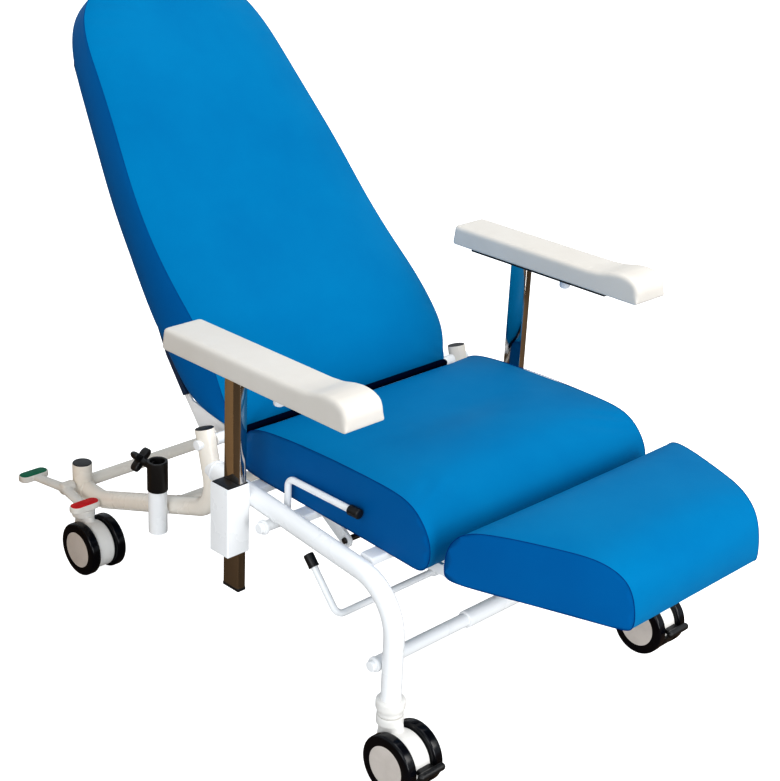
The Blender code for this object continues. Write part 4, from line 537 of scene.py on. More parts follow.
SIDES = (("right", -1.0), ("left", 1.0))
TUBE_RADIUS = 0.016
POST_TOP = Vector((0.297, 0.1017, 0.4207))
POST_FOOT = Vector((0.297, 0.0668, 0.290))
SLOPE_END = Vector((0.2715, 0.425, 0.157))
CASTER_POST = Vector((0.268, 0.492, 0.0))
CASTER_POST_RADIUS = 0.018
CASTER_POST_TOP = 0.206
LEG_FOOT = 0.1058
CASTER_POST_SECTION = (
    (0.0, CASTER_POST_TOP - 0.0012),
    (CASTER_POST_RADIUS, CASTER_POST_TOP - 0.0012),
    (CASTER_POST_RADIUS, LEG_FOOT),
    (0.0, LEG_FOOT),
)
for side, sign in SIDES:
    flip = Matrix.Diagonal((sign, 1.0, 1.0))
    post_line = (POST_TOP - POST_FOOT).normalized()
    leg = bmesh.new()
    bent_tube(
        leg,
        (
            flip @ (POST_TOP - post_line * 0.001),
            flip @ POST_FOOT,
            flip @ SLOPE_END,
            flip @ Vector((CASTER_POST.x, CASTER_POST.y, SLOPE_END.z)),
        ),
        (0.060, 0.080),
        TUBE_RADIUS,
    )
    post_spot = flip @ CASTER_POST
    turned(leg, CASTER_POST_SECTION, 0.0012, post_spot, Z_AXIS)
    weld_bead(leg, flip @ Vector((0.2686, 0.4755, 0.157)), (0.04 * sign, 1.0, 0.0), TUBE_RADIUS)
    # The leg tube takes the cream enamel, whose warmth is painted reflected light
    piece("rear_leg_tube_" + side, leg, WARM_LIT_ENAMEL, "frame", ("rear_leg_" + side,))

    caps = bmesh.new()
    for radius, inner, top, way in (
        (TUBE_RADIUS, 0.0136, flip @ (POST_TOP - post_line * 0.0008), flip @ post_line),
        (CASTER_POST_RADIUS, 0.0150, post_spot + Vector((0.0, 0.0, CASTER_POST_TOP - 0.0008)), Z_AXIS),
    ):
        lid = (
            (0.0, 0.0012),
            (radius - 0.0008, 0.0008),
            (radius - 0.0002, -0.0012),
            (inner, -0.0012),
            (0.0, -0.0012),
        )
        turned(caps, lid, 0.0008, top, way, 48)
    piece("post_caps_" + side, caps, BLACK_MOULDING, "frame")

# Side frames: one bent tube each, from the socket of the front caster up the leg and back along
# the seat rail to the tilted post, where it is welded. A stepped collar is pressed on the foot.
WHITE_ENAMEL = finish(
    "white_enamel", "white_paint", (250, 251, 252), (244, 245, 246), 6.0, (0.24, 0.3), (900.0, 0.2, 0.00006),
    Coat_Weight=0.2, Coat_Roughness=0.12,
)
FRONT_LEG = Vector((0.307, -0.354, LEG_FOOT))
RAIL_CORNER_Z = 0.320
RAIL_END = Vector((0.297, 0.0844, 0.3577))
COLLAR_SECTION = (
    (0.0, 0.0350),
    (0.0190, 0.0350),
    (0.0230, 0.0335),
    (0.0230, 0.0205),
    (0.0205, 0.0150),
    (0.0205, 0.0085),
    (0.0, 0.0085),
)
for side, sign in SIDES:
    flip = Matrix.Diagonal((sign, 1.0, 1.0))
    rail = bmesh.new()
    rail_corner = Vector((FRONT_LEG.x, FRONT_LEG.y, RAIL_CORNER_Z))
    rail_way = (RAIL_END - rail_corner).normalized()
    bent_tube(
        rail,
        (
            flip @ (FRONT_LEG + Vector((0.0, 0.0, 0.020))),
            flip @ rail_corner,
            flip @ (RAIL_END - rail_way * 0.004),
        ),
        (0.085,),
        TUBE_RADIUS,
    )
    weld_bead(rail, flip @ (RAIL_END - rail_way * 0.0165), flip @ rail_way, TUBE_RADIUS)
    piece("side_frame_tube_" + side, rail, WHITE_ENAMEL, "frame", ("side_frame_" + side,))
    collar = bmesh.new()
    turned(collar, COLLAR_SECTION, 0.0022, flip @ FRONT_LEG, Z_AXIS)
    piece("leg_collar_" + side, collar, HOOD_WHITE, "frame")

# Cross members: steel tubes between the two sides, enamelled like them. Those at the rear are welded
# and the front one, with a thicker middle sleeve, is bolted through the legs. The pivot shaft of the
# back, the bolt of its lever and the flat bars and brackets under the seat belong here too.


def bolt_end(work, start, way, collar_radius=0.0122, collar=0.006):
    """Add a washer collar and a round-edged bolt cap outwards from a place."""
    profile = (
        (0.0, 0.0),
        (collar_radius, 0.0),
        (collar_radius, collar),
        (0.0084, collar),
        (0.0084, collar + 0.0078),
        (0.0, collar + 0.0080),
    )
    turned(work, profile, 0.0013, start, (way, 0.0, 0.0), 40)


THIN_TUBE_RADIUS = 0.011
MID_TUBE_RADIUS = 0.010
REAR_CROSS = Vector((0.0, 0.492, 0.165))
FRONT_CROSS = Vector((0.0, -0.3267, 0.190))
BACK_PIVOT = Vector((0.0, 0.09537, 0.397))
LEVER_PIVOT = Vector((0.0, -0.0735, 0.31876))
mid_low, mid_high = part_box("mid_cross_tube")
MID_CROSS = Vector((0.0, 0.200, (mid_low.z + mid_high.z) / 2))
for name, middle, reach, weld_x, radius in (
    ("rear_cross", REAR_CROSS, 0.255, 0.2505, THIN_TUBE_RADIUS),
    ("mid_cross", MID_CROSS, mid_high.x + 0.004, mid_high.x, MID_TUBE_RADIUS),
):
    pipe = bmesh.new()
    cross_bar(pipe, middle, reach, radius, 36)
    for way in (-1.0, 1.0):
        weld_bead(pipe, middle + way * weld_x * ACROSS, X_AXIS, radius + 0.0002)
    # The rear and middle cross tubes take the cream enamel, whose warmth is painted reflected light
    piece(name + "_pipe", pipe, WARM_LIT_ENAMEL, "frame", (name + "_tube",))
front_cross = bmesh.new()
cross_bar(front_cross, FRONT_CROSS, 0.314, THIN_TUBE_RADIUS, 36)
sleeve = eased(((0.0105, -0.120), (0.014, -0.120), (0.014, 0.120), (0.0105, 0.120)), 0.002, 4)
spin_round(front_cross, sleeve, FRONT_CROSS, X_AXIS, 40, True)
for way in (-1.0, 1.0):
    bolt_end(front_cross, FRONT_CROSS + way * 0.3138 * ACROSS, way)
piece("front_cross_pipe", front_cross, WHITE_ENAMEL, "frame", ("front_cross_tube",))
pivot_shaft = bmesh.new()
cross_bar(pivot_shaft, BACK_PIVOT, 0.2807, 0.010, 36)
for way in (-1.0, 1.0):
    bolt_end(pivot_shaft, BACK_PIVOT + way * 0.3050 * ACROSS, way, 0.0096, 0.006)
piece("pivot_shaft_pipe", pivot_shaft, WHITE_ENAMEL, "frame", ("back_pivot_shaft",))
lever_bolt = bmesh.new()
bolt_head = LEVER_PIVOT - 0.3172 * ACROSS
bolt_tail = LEVER_PIVOT - 0.2635 * ACROSS
round_bar(lever_bolt, bolt_head - 0.0008 * ACROSS, bolt_tail, 0.009, 36)
bolt_end(lever_bolt, bolt_head, -1.0)
piece("lever_bolt_body", lever_bolt, WHITE_ENAMEL, "frame", ("lever_pivot_bolt",))


def dressed(node, surface, body, edge):
    """A merged copy of a CAD node with its flats joined and its edges rounded, in its place."""
    work = bmesh.new()
    work.from_mesh(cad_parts[node].data)
    bmesh.ops.remove_doubles(work, verts=work.verts, dist=0.00001)
    bmesh.ops.dissolve_limit(
        work, angle_limit=math.radians(1.0), verts=work.verts, edges=work.edges, use_dissolve_boundaries=False
    )
    sharp = math.radians(28.0)
    rims = [line for line in work.edges if line.is_manifold and abs(line.calc_face_angle(0.0)) > sharp]
    soften(work, rims, edge, clamp=True)
    piece(node + "_finished", work, surface, body, (node,))


for bar in ("seat_bar_rear", "seat_bar_front", "seat_bar_middle"):
    dressed(bar, WHITE_ENAMEL, "frame", 0.0008)
for bracket in ("leg_hinge_bracket_right", "leg_hinge_bracket_left", "leg_lever_bracket"):
    dressed(bracket, WHITE_ENAMEL, "frame", 0.0006)
dressed("spring_anchor_axle", AXLE_STEEL, "frame", 0.0006)

# Foot brake: a steel bar through the rear cross tube with a moulded two-armed pedal on each end.
# The rear pad has a green inlay to release and the front one a red inlay to lock.
PEDAL_GREEN = finish(
    "pedal_green", "white_plastic", (0, 116, 84), (0, 102, 72), 60.0, (0.4, 0.55), (900.0, 0.8, 0.0002),
    Specular_IOR_Level=0.15,
)
PEDAL_RED = finish(
    "pedal_red", "white_plastic", (214, 14, 22), (196, 10, 18), 60.0, (0.4, 0.55), (900.0, 0.8, 0.0002),
    Specular_IOR_Level=0.15,
)
PEDAL_IVORY = finish(
    "pedal_ivory", "white_plastic", (231, 228, 222), (219, 214, 206), 30.0, (0.35, 0.48),
    (1500.0, 0.6, 0.0001),
)
BRAKE_AXIS = REAR_CROSS
PAD_HALF_LENGTH = 0.0295
PAD_HALF_WIDTH = 0.0132
PAD_HALF_HEIGHT = 0.0058
PAD_OFFSET = 0.081
PAD_X = 0.3205
PEDAL_ARM_X = 0.3065
PEDAL_HUB = ((0.0, 0.2875), (0.0118, 0.2875), (0.0118, 0.3150), (0.0, 0.3160))


def raised(work, outline, by):
    """Add a flat outline and push it out into a solid."""
    flat = work.faces.new([work.verts.new(point) for point in outline])
    pushed = bmesh.ops.extrude_face_region(work, geom=[flat])
    corners = [item for item in pushed["geom"] if isinstance(item, bmesh.types.BMVert)]
    bmesh.ops.translate(work, vec=by, verts=corners)


def stadium(work, centre, half_length, half_width, half_height, edge):
    """Add a flat pad with round ends, long along X."""
    outline = []
    for start, place in ((-math.pi / 2, half_length - half_width), (math.pi / 2, half_width - half_length)):
        for step in range(17):
            angle = start + math.pi * step / 16
            across = place + half_width * math.cos(angle)
            outline.append(centre + Vector((across, half_width * math.sin(angle), -half_height)))
    raised(work, outline, (0.0, 0.0, 2 * half_height))
    sharp = [line for line in work.edges if line.is_manifold and line.calc_face_angle(0.0) > 1.2]
    rims = [line for line in sharp if (line.verts[0].co - centre).length < 2 * half_length]
    soften(work, rims, edge)


dressed("brake_bar", AXLE_STEEL, "foot_brake", 0.0005)
for side, sign in SIDES:
    pad_x = sign * PAD_X
    pedal = bmesh.new()
    turned(pedal, PEDAL_HUB, 0.006, BRAKE_AXIS, (sign, 0.0, 0.0), 40, 5)
    for way in (-1.0, 1.0):
        start = Vector((sign * PEDAL_ARM_X, BRAKE_AXIS.y, BRAKE_AXIS.z))
        end = Vector((pad_x, BRAKE_AXIS.y + way * (PAD_OFFSET - 0.006), BRAKE_AXIS.z - 0.001))
        turn = (end - start).to_track_quat("Z", "Y").to_matrix().to_4x4()
        arm = bmesh.ops.create_cone(
            pedal, cap_ends=True, segments=24, radius1=0.0112, radius2=0.0098, depth=(end - start).length,
            matrix=Matrix.Translation((start + end) / 2) @ turn,
        )
        arm_level = Matrix.Translation((0.0, 0.0, -BRAKE_AXIS.z))
        bmesh.ops.scale(pedal, vec=(1.0, 1.0, 0.6), space=arm_level, verts=arm["verts"])
        stadium(
            pedal, Vector((pad_x, BRAKE_AXIS.y + way * PAD_OFFSET, BRAKE_AXIS.z)),
            PAD_HALF_LENGTH, PAD_HALF_WIDTH, PAD_HALF_HEIGHT, 0.002,
        )
    bmesh.ops.recalc_face_normals(pedal, faces=pedal.faces)
    piece(
        "brake_pedal_body_" + side, moulded(pedal, 0.0011, 4), PEDAL_IVORY, "foot_brake",
        ("brake_pedal_" + side,), 60.0,
    )
    for name, way, surface in (("lock", -1.0, PEDAL_RED), ("release", 1.0, PEDAL_GREEN)):
        inlay = bmesh.new()
        stadium(
            inlay, Vector((pad_x, BRAKE_AXIS.y + way * PAD_OFFSET, BRAKE_AXIS.z + PAD_HALF_HEIGHT - 0.0004)),
            PAD_HALF_LENGTH - 0.0022, PAD_HALF_WIDTH - 0.0022, 0.0009, 0.0005,
        )
        piece("pedal_inlay_" + name + "_" + side, inlay, surface, "foot_brake")

# Pole holder: a white socket tube welded to the right sloping tube with a black clamp sleeve on
# top. A star knob on a short screw presses on the pole.
POLE = Vector((-0.32007, 0.1965, 0.0))
KNOB_AXIS = Vector((POLE.x, 0.2340, 0.319))
socket = bmesh.new()
socket_side = ((0.016, 0.2797), (0.016, 0.2024), (0.0128, 0.2024), (0.0128, 0.2797))
turned(socket, socket_side, 0.0008, POLE, Z_AXIS, 56, 3, True)
piece("pole_socket_tube", socket, WHITE_ENAMEL, "frame", ("pole_socket",))
clamp = bmesh.new()
clamp_side = ((0.0175, 0.334), (0.0175, 0.280), (0.0128, 0.280), (0.0128, 0.334))
turned(clamp, clamp_side, 0.0018, POLE, Z_AXIS, 56, 4, True)
spout_side = ((0.0, 0.011), (0.0085, 0.011), (0.0085, 0.021), (0.0, 0.021))
turned(clamp, spout_side, 0.0012, (POLE.x, POLE.y, KNOB_AXIS.z), Y_AXIS, 32, 3)
piece("pole_clamp_body", clamp, BLACK_MOULDING, "frame", ("pole_clamp_sleeve",))
lug = bmesh.new()
block(lug, (POLE.x + 0.010, 0.1905, 0.232), (POLE.x + 0.032, 0.2025, 0.246), 0.002)
piece("pole_lug", lug, WHITE_ENAMEL, "frame")
STAR_ARMS = 4
knob = bmesh.new()
star = []
for step in range(64):
    angle = 2 * math.pi * step / 64
    reach = 0.0158 - 0.0066 * math.cos(STAR_ARMS * angle)
    star.append(KNOB_AXIS + Vector((reach * math.cos(angle), 0.0, reach * math.sin(angle))))
raised(knob, star, (0.0, 0.016, 0.0))
soften(knob, [line for line in knob.edges if line.calc_face_angle(0.0) > 1.2], 0.003)
screw_side = (
    (0.0, -0.0245),
    (0.005, -0.0245),
    (0.005, -0.008),
    (0.0075, -0.002),
    (0.0075, 0.004),
    (0.0, 0.004),
)
turned(knob, screw_side, 0.001, KNOB_AXIS, Y_AXIS, 32)
boss_side = ((0.0, 0.010), (0.007, 0.010), (0.006, 0.0165), (0.0, 0.017))
turned(knob, boss_side, 0.002, KNOB_AXIS, Y_AXIS, 32)
piece("clamp_knob_star", knob, BLACK_MOULDING, "clamp_knob", ("clamp_knob",))

# Seat: a plywood board, stained navy, on the three bars with a foam block under tight blue coated
# cloth. The top panel rolls over the front edge and is sewn to a panel on each side, whose cloth is painted
# darker as shade.
NAVY_BOARD = finish(
    "navy_board", "board_wood", (20, 50, 84), (14, 38, 66), 18.0, (0.55, 0.7), (260.0, 0.15, 0.0004)
)
BLUE_COVER = finish(
    "blue_cover", "blue_vinyl", (0, 112, 161), (0, 105, 155), 5.0, (0.44, 0.54), (1150.0, 0.75, 0.0002),
    Specular_IOR_Level=0.05, Specular_Tint=(0.02, 0.5, 1.0, 1.0),
)
# Side panels and bands: the same cloth as the cover, painted darker as shade on the faces turned to the sides
BLUE_SHADED_SIDE = finish(
    "blue_shaded_side", "blue_vinyl", (0, 95, 156), (0, 89, 150), 5.0, (0.44, 0.54), (1150.0, 0.75, 0.0002),
    Specular_IOR_Level=0.15, Specular_Tint=(0.02, 0.5, 1.0, 1.0),
)
SEAM_BLUE = finish(
    "seam_blue", "blue_vinyl", (0, 58, 122), (0, 50, 110), 300.0, (0.5, 0.6), (1600.0, 0.4, 0.0003),
    Specular_IOR_Level=0.05,
)
SEAT_HALF_WIDTH = 0.2575
SEAT_UNDER = 0.3513
SEAT_SLOPE = 0.0368
SEAT_BOARD_HALF_WIDTH = 0.232
SEAT_BOARD_FRONT = -0.308
SEAT_BOARD_REAR = 0.020
SEAT_BOARD_RECESS = 0.0145
HOLLOW_DEPTH = 0.012
HOLLOW_Y = -0.145
HOLLOW_FRONT_REACH = 0.058
HOLLOW_REAR_REACH = 0.105
HOLLOW_SIDE_REACH = 0.17
# Depth of the stretch over an underside that is held down while a cushion is filled
HELD = 0.004
FILL_PRESSURE = 4.0
FILL_TICKS = 20
CLOTH_STIFFNESS = 12.0
# How far a cushion's middle is lifted and its nose drawn forward, and where that begins
PANEL_LIFT = 0.004
LIFT_START = 0.03
SEAT_LIFT_REACH = 0.07
SEAT_NOSE = -0.33
SEAT_NOSE_RISE = 0.04
NOSE_REACH = 0.04
# The front edge hangs a little lower at the side panels
SIDE_SHARE = 0.9
SAG_DEPTH = 0.004
SAG_Y = -0.352
SAG_REACH = 0.032
SEAT_SHARES = (-1.0, -0.93, -0.65, -0.25, 0.25, 0.65, 0.93, 1.0)
# Side view of the seat: forward place and height over the sloping underside
SEAT_SIDE = (
    (0.053, 0.010),
    (0.044, 0.000),
    (-0.100, 0.000),
    (-0.320, 0.000),
    (-0.352, 0.001),
    (-0.368, 0.014),
    (-0.372, 0.042),
    (-0.363, 0.068),
    (-0.345, 0.090),
    (-0.315, 0.105),
    (-0.240, 0.1045),
    (-0.160, 0.1025),
    (-0.070, 0.0965),
    (0.006, 0.088),
    (0.040, 0.075),
    (0.055, 0.048),
)


def seat_under(y):
    """Height of the sloping underside."""
    return SEAT_UNDER + SEAT_SLOPE * y


def skin_of(rings, seams):
    """A closed skin over rings of points, rounded by subdivision, with its seam edges marked."""
    work = bmesh.new()
    rows = [[work.verts.new(point) for point in ring] for ring in rings]
    for row in rows:
        for k in range(len(row)):
            work.edges.new((row[k - 1], row[k]))
    for first, second in zip(rows, rows[1:]):
        loops = [work.edges.get((row[k - 1], row[k])) for row in (first, second) for k in range(len(row))]
        bmesh.ops.bridge_loops(work, edges=loops)
    for row in (rows[0], rows[-1]):
        work.faces.new(row)
    bmesh.ops.recalc_face_normals(work, faces=work.faces)
    crease = work.edges.layers.float.new("crease_edge")
    place = {corner: (r, k) for r, row in enumerate(rows) for k, corner in enumerate(row)}
    for line in work.edges:
        line.seam = seams(*sorted(place[corner] for corner in line.verts))
        line[crease] = float(line.seam)
    return evaluated(as_mesh("skin", work), ("SUBSURF", {"levels": 3, "render_levels": 3}))


def seam_lines(work):
    """Ordered runs of points along the marked seam edges."""
    left = {line for line in work.edges if line.seam}
    runs = []
    while left:
        ends = [c for line in left for c in line.verts if sum(e in left for e in c.link_edges) == 1]
        here = min(ends or [c for line in left for c in line.verts], key=lambda corner: corner.index)
        run = [here]
        while True:
            onward = [line for line in here.link_edges if line in left]
            if not onward:
                break
            left.discard(onward[0])
            here = onward[0].other_vert(here)
            run.append(here)
        runs.append([corner.co.copy() for corner in run])
    return runs


def stuffed(name, skin, swell, held):
    """Hold a skin along its seams and where it rests, and let pressure fill it."""
    runs = seam_lines(skin)
    pinned = [
        corner.index for corner in skin.verts
        if any(line.seam for line in corner.link_edges) or held(corner.co)
    ]
    padding = as_mesh(name, skin)
    made = placed(name + "_filling", padding)
    group = made.vertex_groups.new(name="held")
    group.add(pinned, 1.0, "REPLACE")
    cloth = made.modifiers.new("filling", "CLOTH").settings
    cloth.use_pressure = True
    cloth.uniform_pressure_force = FILL_PRESSURE
    cloth.vertex_group_mass = "held"
    cloth.tension_stiffness = CLOTH_STIFFNESS
    cloth.compression_stiffness = CLOTH_STIFFNESS
    cloth.bending_stiffness = 2.0
    cloth.quality = 4
    cloth.effector_weights.gravity = 0.0
    scene = bpy.context.scene
    for tick in range(1, FILL_TICKS + 1):
        scene.frame_set(tick)
    graph = bpy.context.evaluated_depsgraph_get()
    filled = made.evaluated_get(graph).to_mesh()
    start = [corner.co.copy() for corner in padding.vertices]
    moved = [filled.vertices[k].co.copy() for k in range(len(start))]
    made.evaluated_get(graph).to_mesh_clear()
    bpy.data.objects.remove(made)
    scene.frame_set(1)
    for corner, before, after in zip(padding.vertices, start, moved):
        shift = after - before
        if shift.length > 0.0:
            corner.co = before + shift * (swell * (1.0 - math.exp(-shift.length / swell)) / shift.length)
    return padding, runs


def covered(name, padding, body, node):
    """Finish a filled cushion: its cover, with painted shade on the sides, its body and its CAD solid."""
    padding.shade_smooth()
    padding.materials.clear()
    padding.materials.append(BLUE_COVER)
    padding.materials.append(BLUE_SHADED_SIDE)
    for panel in padding.polygons:
        # Faces turned to the sides take the darker copy of the cloth, which is painted shade
        panel.material_index = int(abs(panel.normal.x) > 0.7)
    made = placed(name, padding)
    rounding = made.modifiers.new("rounding", "SUBSURF")
    rounding.levels = 1
    rounding.render_levels = 1
    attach(made, body)
    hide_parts(node)


def seam_thread(name, runs, body, radius=0.0006):
    """A dark welt along the seams."""
    work = bmesh.new()
    for run in runs:
        closed = (run[0] - run[-1]).length < 0.001
        follow(work, run[:-1] if closed else run, radius, 8, closed)
    piece(name, work, SEAM_BLUE, body, (), 60.0)


def seat_ring(share):
    """Side view of the seat at a share of its half width, crowned towards the middle."""
    ring = []
    lift = PANEL_LIFT * (1.0 - share**4)
    for y, height in SEAT_SIDE:
        top = max(0.0, height - LIFT_START) / SEAT_LIFT_REACH
        out = max(0.0, (SEAT_NOSE - y) / NOSE_REACH) * min(1.0, height / SEAT_NOSE_RISE)
        sag = SAG_DEPTH * max(0.0, 1.0 - abs(y - SAG_Y) / SAG_REACH) * (abs(share) > SIDE_SHARE)
        z = seat_under(y) + height + lift * top - sag
        ring.append(Vector((share * SEAT_HALF_WIDTH, y - lift * out, z)))
    return ring


def panel_ends(first, second):
    """Seams of a form whose end rings bound the side panels."""
    return first[0] == second[0] and first[0] in (0, len(SEAT_SHARES) - 1)


seat_padding, seat_seams = stuffed(
    "seat_pad",
    skin_of([seat_ring(share) for share in SEAT_SHARES], panel_ends),
    0.009,
    lambda spot: spot.z < seat_under(spot.y) + HELD,
)
# The occupant's weight has left the middle a little hollow, and the board lies in a recess below
for corner in seat_padding.vertices:
    x, y, z = corner.co
    over = z - seat_under(y)
    on_seat_board = abs(x) < SEAT_BOARD_HALF_WIDTH and SEAT_BOARD_FRONT < y < SEAT_BOARD_REAR
    if over > 0.06:
        reach = HOLLOW_FRONT_REACH if y < HOLLOW_Y else HOLLOW_REAR_REACH
        sit = math.exp(-(((y - HOLLOW_Y) / reach) ** 2) - (x / HOLLOW_SIDE_REACH) ** 2)
        corner.co.z -= HOLLOW_DEPTH * sit
    elif over < HELD and on_seat_board:
        corner.co.z += SEAT_BOARD_RECESS
covered("seat_pad", seat_padding, "frame", "seat_cushion")
seam_thread("seat_seams", seat_seams, "frame")
dressed("seat_board", NAVY_BOARD, "frame", 0.0012)

# Gas springs: a black cylinder with an eye on the anchor axle and a bright rod whose cross pin
# runs in a slotted crank, one for the back and one for the legrest.
GAS_BLACK = finish(
    "gas_black", "black_plastic", (24, 24, 26), (14, 14, 15), 30.0, (0.2, 0.34), (600.0, 0.2, 0.0001),
    Coat_Weight=0.2,
)
CHROME_PLATE = finish(
    "chrome_plate", "chrome", (206, 202, 198), (192, 188, 184), 9.0, (0.05, 0.11), (1200.0, 0.05, 0.00002),
    Metallic=1.0,
)
dressed("back_spring_cylinder", GAS_BLACK, "frame", 0.0006)
dressed("leg_spring_cylinder", GAS_BLACK, "frame", 0.0006)
dressed("back_spring_rod", CHROME_PLATE, "back_rod", 0.0004)
dressed("leg_spring_rod", CHROME_PLATE, "leg_rod", 0.0004)

# Back: a navy plywood board with white steel brackets on the pivot shaft, and a foam block under the
# same blue cloth. The front panel, fuller at the loins, is sewn to a side band all the way up, whose
# cloth is painted darker as shade. A dark navy strip along its lower edge is a painted shadow of the
# gap above the seat.
BACK_LEAN = math.radians(40.0)
BACK_ALONG = Vector((0.0, math.sin(BACK_LEAN), math.cos(BACK_LEAN)))
BACK_BEHIND = Vector((0.0, math.cos(BACK_LEAN), -math.sin(BACK_LEAN)))
BACK_CORNER = BACK_PIVOT + 0.052 * BACK_ALONG - 0.020 * BACK_BEHIND
BACK_CROWN = 0.013
CROWN_AT_END = 0.25
CROWN_REACH = 0.10
BACK_BOARD_FOOT = 0.043
BACK_BOARD_TOP = 0.692
BACK_BOARD_INSET = 0.0125
BACK_BOARD_FRONT = 0.0695
BRACKET_X = 0.245
SHADOW_STRIP_ALONG = -0.057
# Place along the back and half width
BACK_OUTLINE = (
    (-0.062, 0.216),
    (-0.057, 0.242),
    (-0.040, 0.262),
    (0.000, 0.274),
    (0.045, 0.277),
    (0.120, 0.275),
    (0.200, 0.266),
    (0.300, 0.252),
    (0.400, 0.244),
    (0.500, 0.230),
    (0.600, 0.216),
    (0.660, 0.205),
    (0.715, 0.184),
    (0.750, 0.154),
    (0.768, 0.110),
    (0.773, 0.058),
)
# Place along the back and depth of the rear face: a thin lip in front of the shaft, then the band
BACK_REAR = (
    (-0.062, 0.002),
    (-0.042, 0.007),
    (-0.030, 0.024),
    (0.000, 0.049),
    (0.033, 0.075),
    (0.060, 0.082),
    (0.140, 0.088),
    (0.210, 0.107),
    (0.280, 0.114),
    (0.360, 0.111),
    (0.450, 0.104),
    (0.600, 0.089),
    (0.700, 0.083),
    (0.773, 0.066),
)
# Place along the back, how far the front panel swells forward there and how much narrower it is
LUMBAR = (
    (-0.062, 0.000, 0.006),
    (-0.040, 0.006, 0.010),
    (0.000, 0.021, 0.011),
    (0.045, 0.029, 0.017),
    (0.120, 0.028, 0.020),
    (0.200, 0.011, 0.013),
    (0.300, 0.000, 0.003),
    (0.400, 0.002, 0.003),
    (0.500, 0.004, 0.006),
    (0.600, 0.004, 0.006),
    (0.700, 0.000, 0.000),
    (0.773, 0.000, 0.000),
)


def along_steps(steps, place, column=1):
    """A value read off a line of steps."""
    for first, second in zip(steps, steps[1:]):
        if place <= second[0]:
            share = max(0.0, (place - first[0]) / (second[0] - first[0]))
            return first[column] + share * (second[column] - first[column])
    return steps[-1][column]


def on_back(x, along, deep):
    """A point of the leaning back, by its places across, along and behind the front seam."""
    return BACK_CORNER + x * ACROSS + along * BACK_ALONG + deep * BACK_BEHIND


def back_ring(along, half):
    """Cross section of the back: the crowned front, the two side bands and the rear face."""
    from_end = max(0.0, min(along - BACK_OUTLINE[0][0], BACK_OUTLINE[-1][0] - along))
    crown = BACK_CROWN * (CROWN_AT_END + (1.0 - CROWN_AT_END) * min(1.0, from_end / CROWN_REACH) ** 0.5)
    rear = along_steps(BACK_REAR, along)
    edge = 0.48 * rear
    swell = along_steps(LUMBAR, along)
    seam = 0.985 - along_steps(LUMBAR, along, 2) / half
    section = (
        (-0.96, rear),
        (-1.0, edge),
        (-seam, 0.006 - swell),
        (0.085 - seam, -0.55 * crown - swell),
        (-0.45, -crown - swell),
        (0.0, -crown - swell),
        (0.45, -crown - swell),
        (seam - 0.085, -0.55 * crown - swell),
        (seam, 0.006 - swell),
        (1.0, edge),
        (0.96, rear),
        (0.40, rear),
        (-0.40, rear),
    )
    return [on_back(share * half, along, deep) for share, deep in section]


FRONT_SEAMS = (2, 8)


def band_edges(first, second):
    """Seams where the front panel meets the side band, the third and ninth points of a section."""
    return first[1] == second[1] and first[1] in FRONT_SEAMS


def place_along(spot):
    """How far up the back a point lies."""
    return (spot - BACK_CORNER).dot(BACK_ALONG)


def behind_back(spot):
    """How far behind the front seam a point lies."""
    return (spot - BACK_CORNER).dot(BACK_BEHIND)


def board_recess(spot):
    """How far behind the front seam the padding may reach at a point, so that the board stays clear."""
    along = place_along(spot)
    if not BACK_BOARD_FOOT < along < BACK_BOARD_TOP:
        return 1.0
    past_board = abs(spot.x) - along_steps(BACK_OUTLINE, along) + BACK_BOARD_INSET
    return BACK_BOARD_FRONT + 6.0 * max(0.0, past_board)


back_padding, back_seams = stuffed(
    "back_pad",
    skin_of([back_ring(along, half) for along, half in BACK_OUTLINE], band_edges),
    0.010,
    lambda spot: behind_back(spot) > along_steps(BACK_REAR, place_along(spot)) - HELD,
)
# The board lies in a recess of the rear face
for corner in back_padding.vertices:
    corner.co -= BACK_BEHIND * max(0.0, behind_back(corner.co) - board_recess(corner.co))
covered("back_pad", back_padding, "back", "back_cushion")
seam_thread("back_seams", back_seams, "back", 0.0004)
# The dark navy strip along the back's lower edge is not real piping: it is a painted shadow standing in for
# the shaded gap between the back and the seat
SHADOW_STRIP_NAVY = finish(
    "shadow_strip_navy", "blue_vinyl", (3, 14, 38), (2, 10, 30), 200.0, (0.75, 0.85), (1150.0, 0.6, 0.0002),
    Specular_IOR_Level=0.0,
)
shadow_strip = bmesh.new()
bent_tube(
    shadow_strip,
    [
        on_back(x, SHADOW_STRIP_ALONG, deep)
        for x, deep in ((-0.246, 0.008), (-0.232, -0.009), (0.232, -0.009), (0.246, 0.008))
    ],
    (0.012, 0.012), 0.0060, 20,
)
piece("back_shadow_strip", shadow_strip, SHADOW_STRIP_NAVY, "back")
dressed("back_board", NAVY_BOARD, "back", 0.0012)
for node in ("back_bracket_right", "back_bracket_left", "back_crank"):
    dressed(node, WHITE_ENAMEL, "back", 0.0006)
# Pointed ends of the brackets, in line with them, lie on the rear of the board
TIP_SIDE = ((0.086, 0.0814), (0.120, 0.0814), (0.120, 0.0850), (0.096, 0.0939), (0.086, 0.0939))
TIP_THICKNESS = 0.0032
for side, sign in SIDES:
    tip = bmesh.new()
    tip_x = sign * BRACKET_X - TIP_THICKNESS / 2
    raised(tip, [on_back(tip_x, along, deep) for along, deep in TIP_SIDE], (TIP_THICKNESS, 0.0, 0.0))
    bmesh.ops.recalc_face_normals(tip, faces=tip.faces)
    soften(tip, list(tip.edges), 0.0006)
    piece("bracket_tip_" + side, tip, WHITE_ENAMEL, "back")

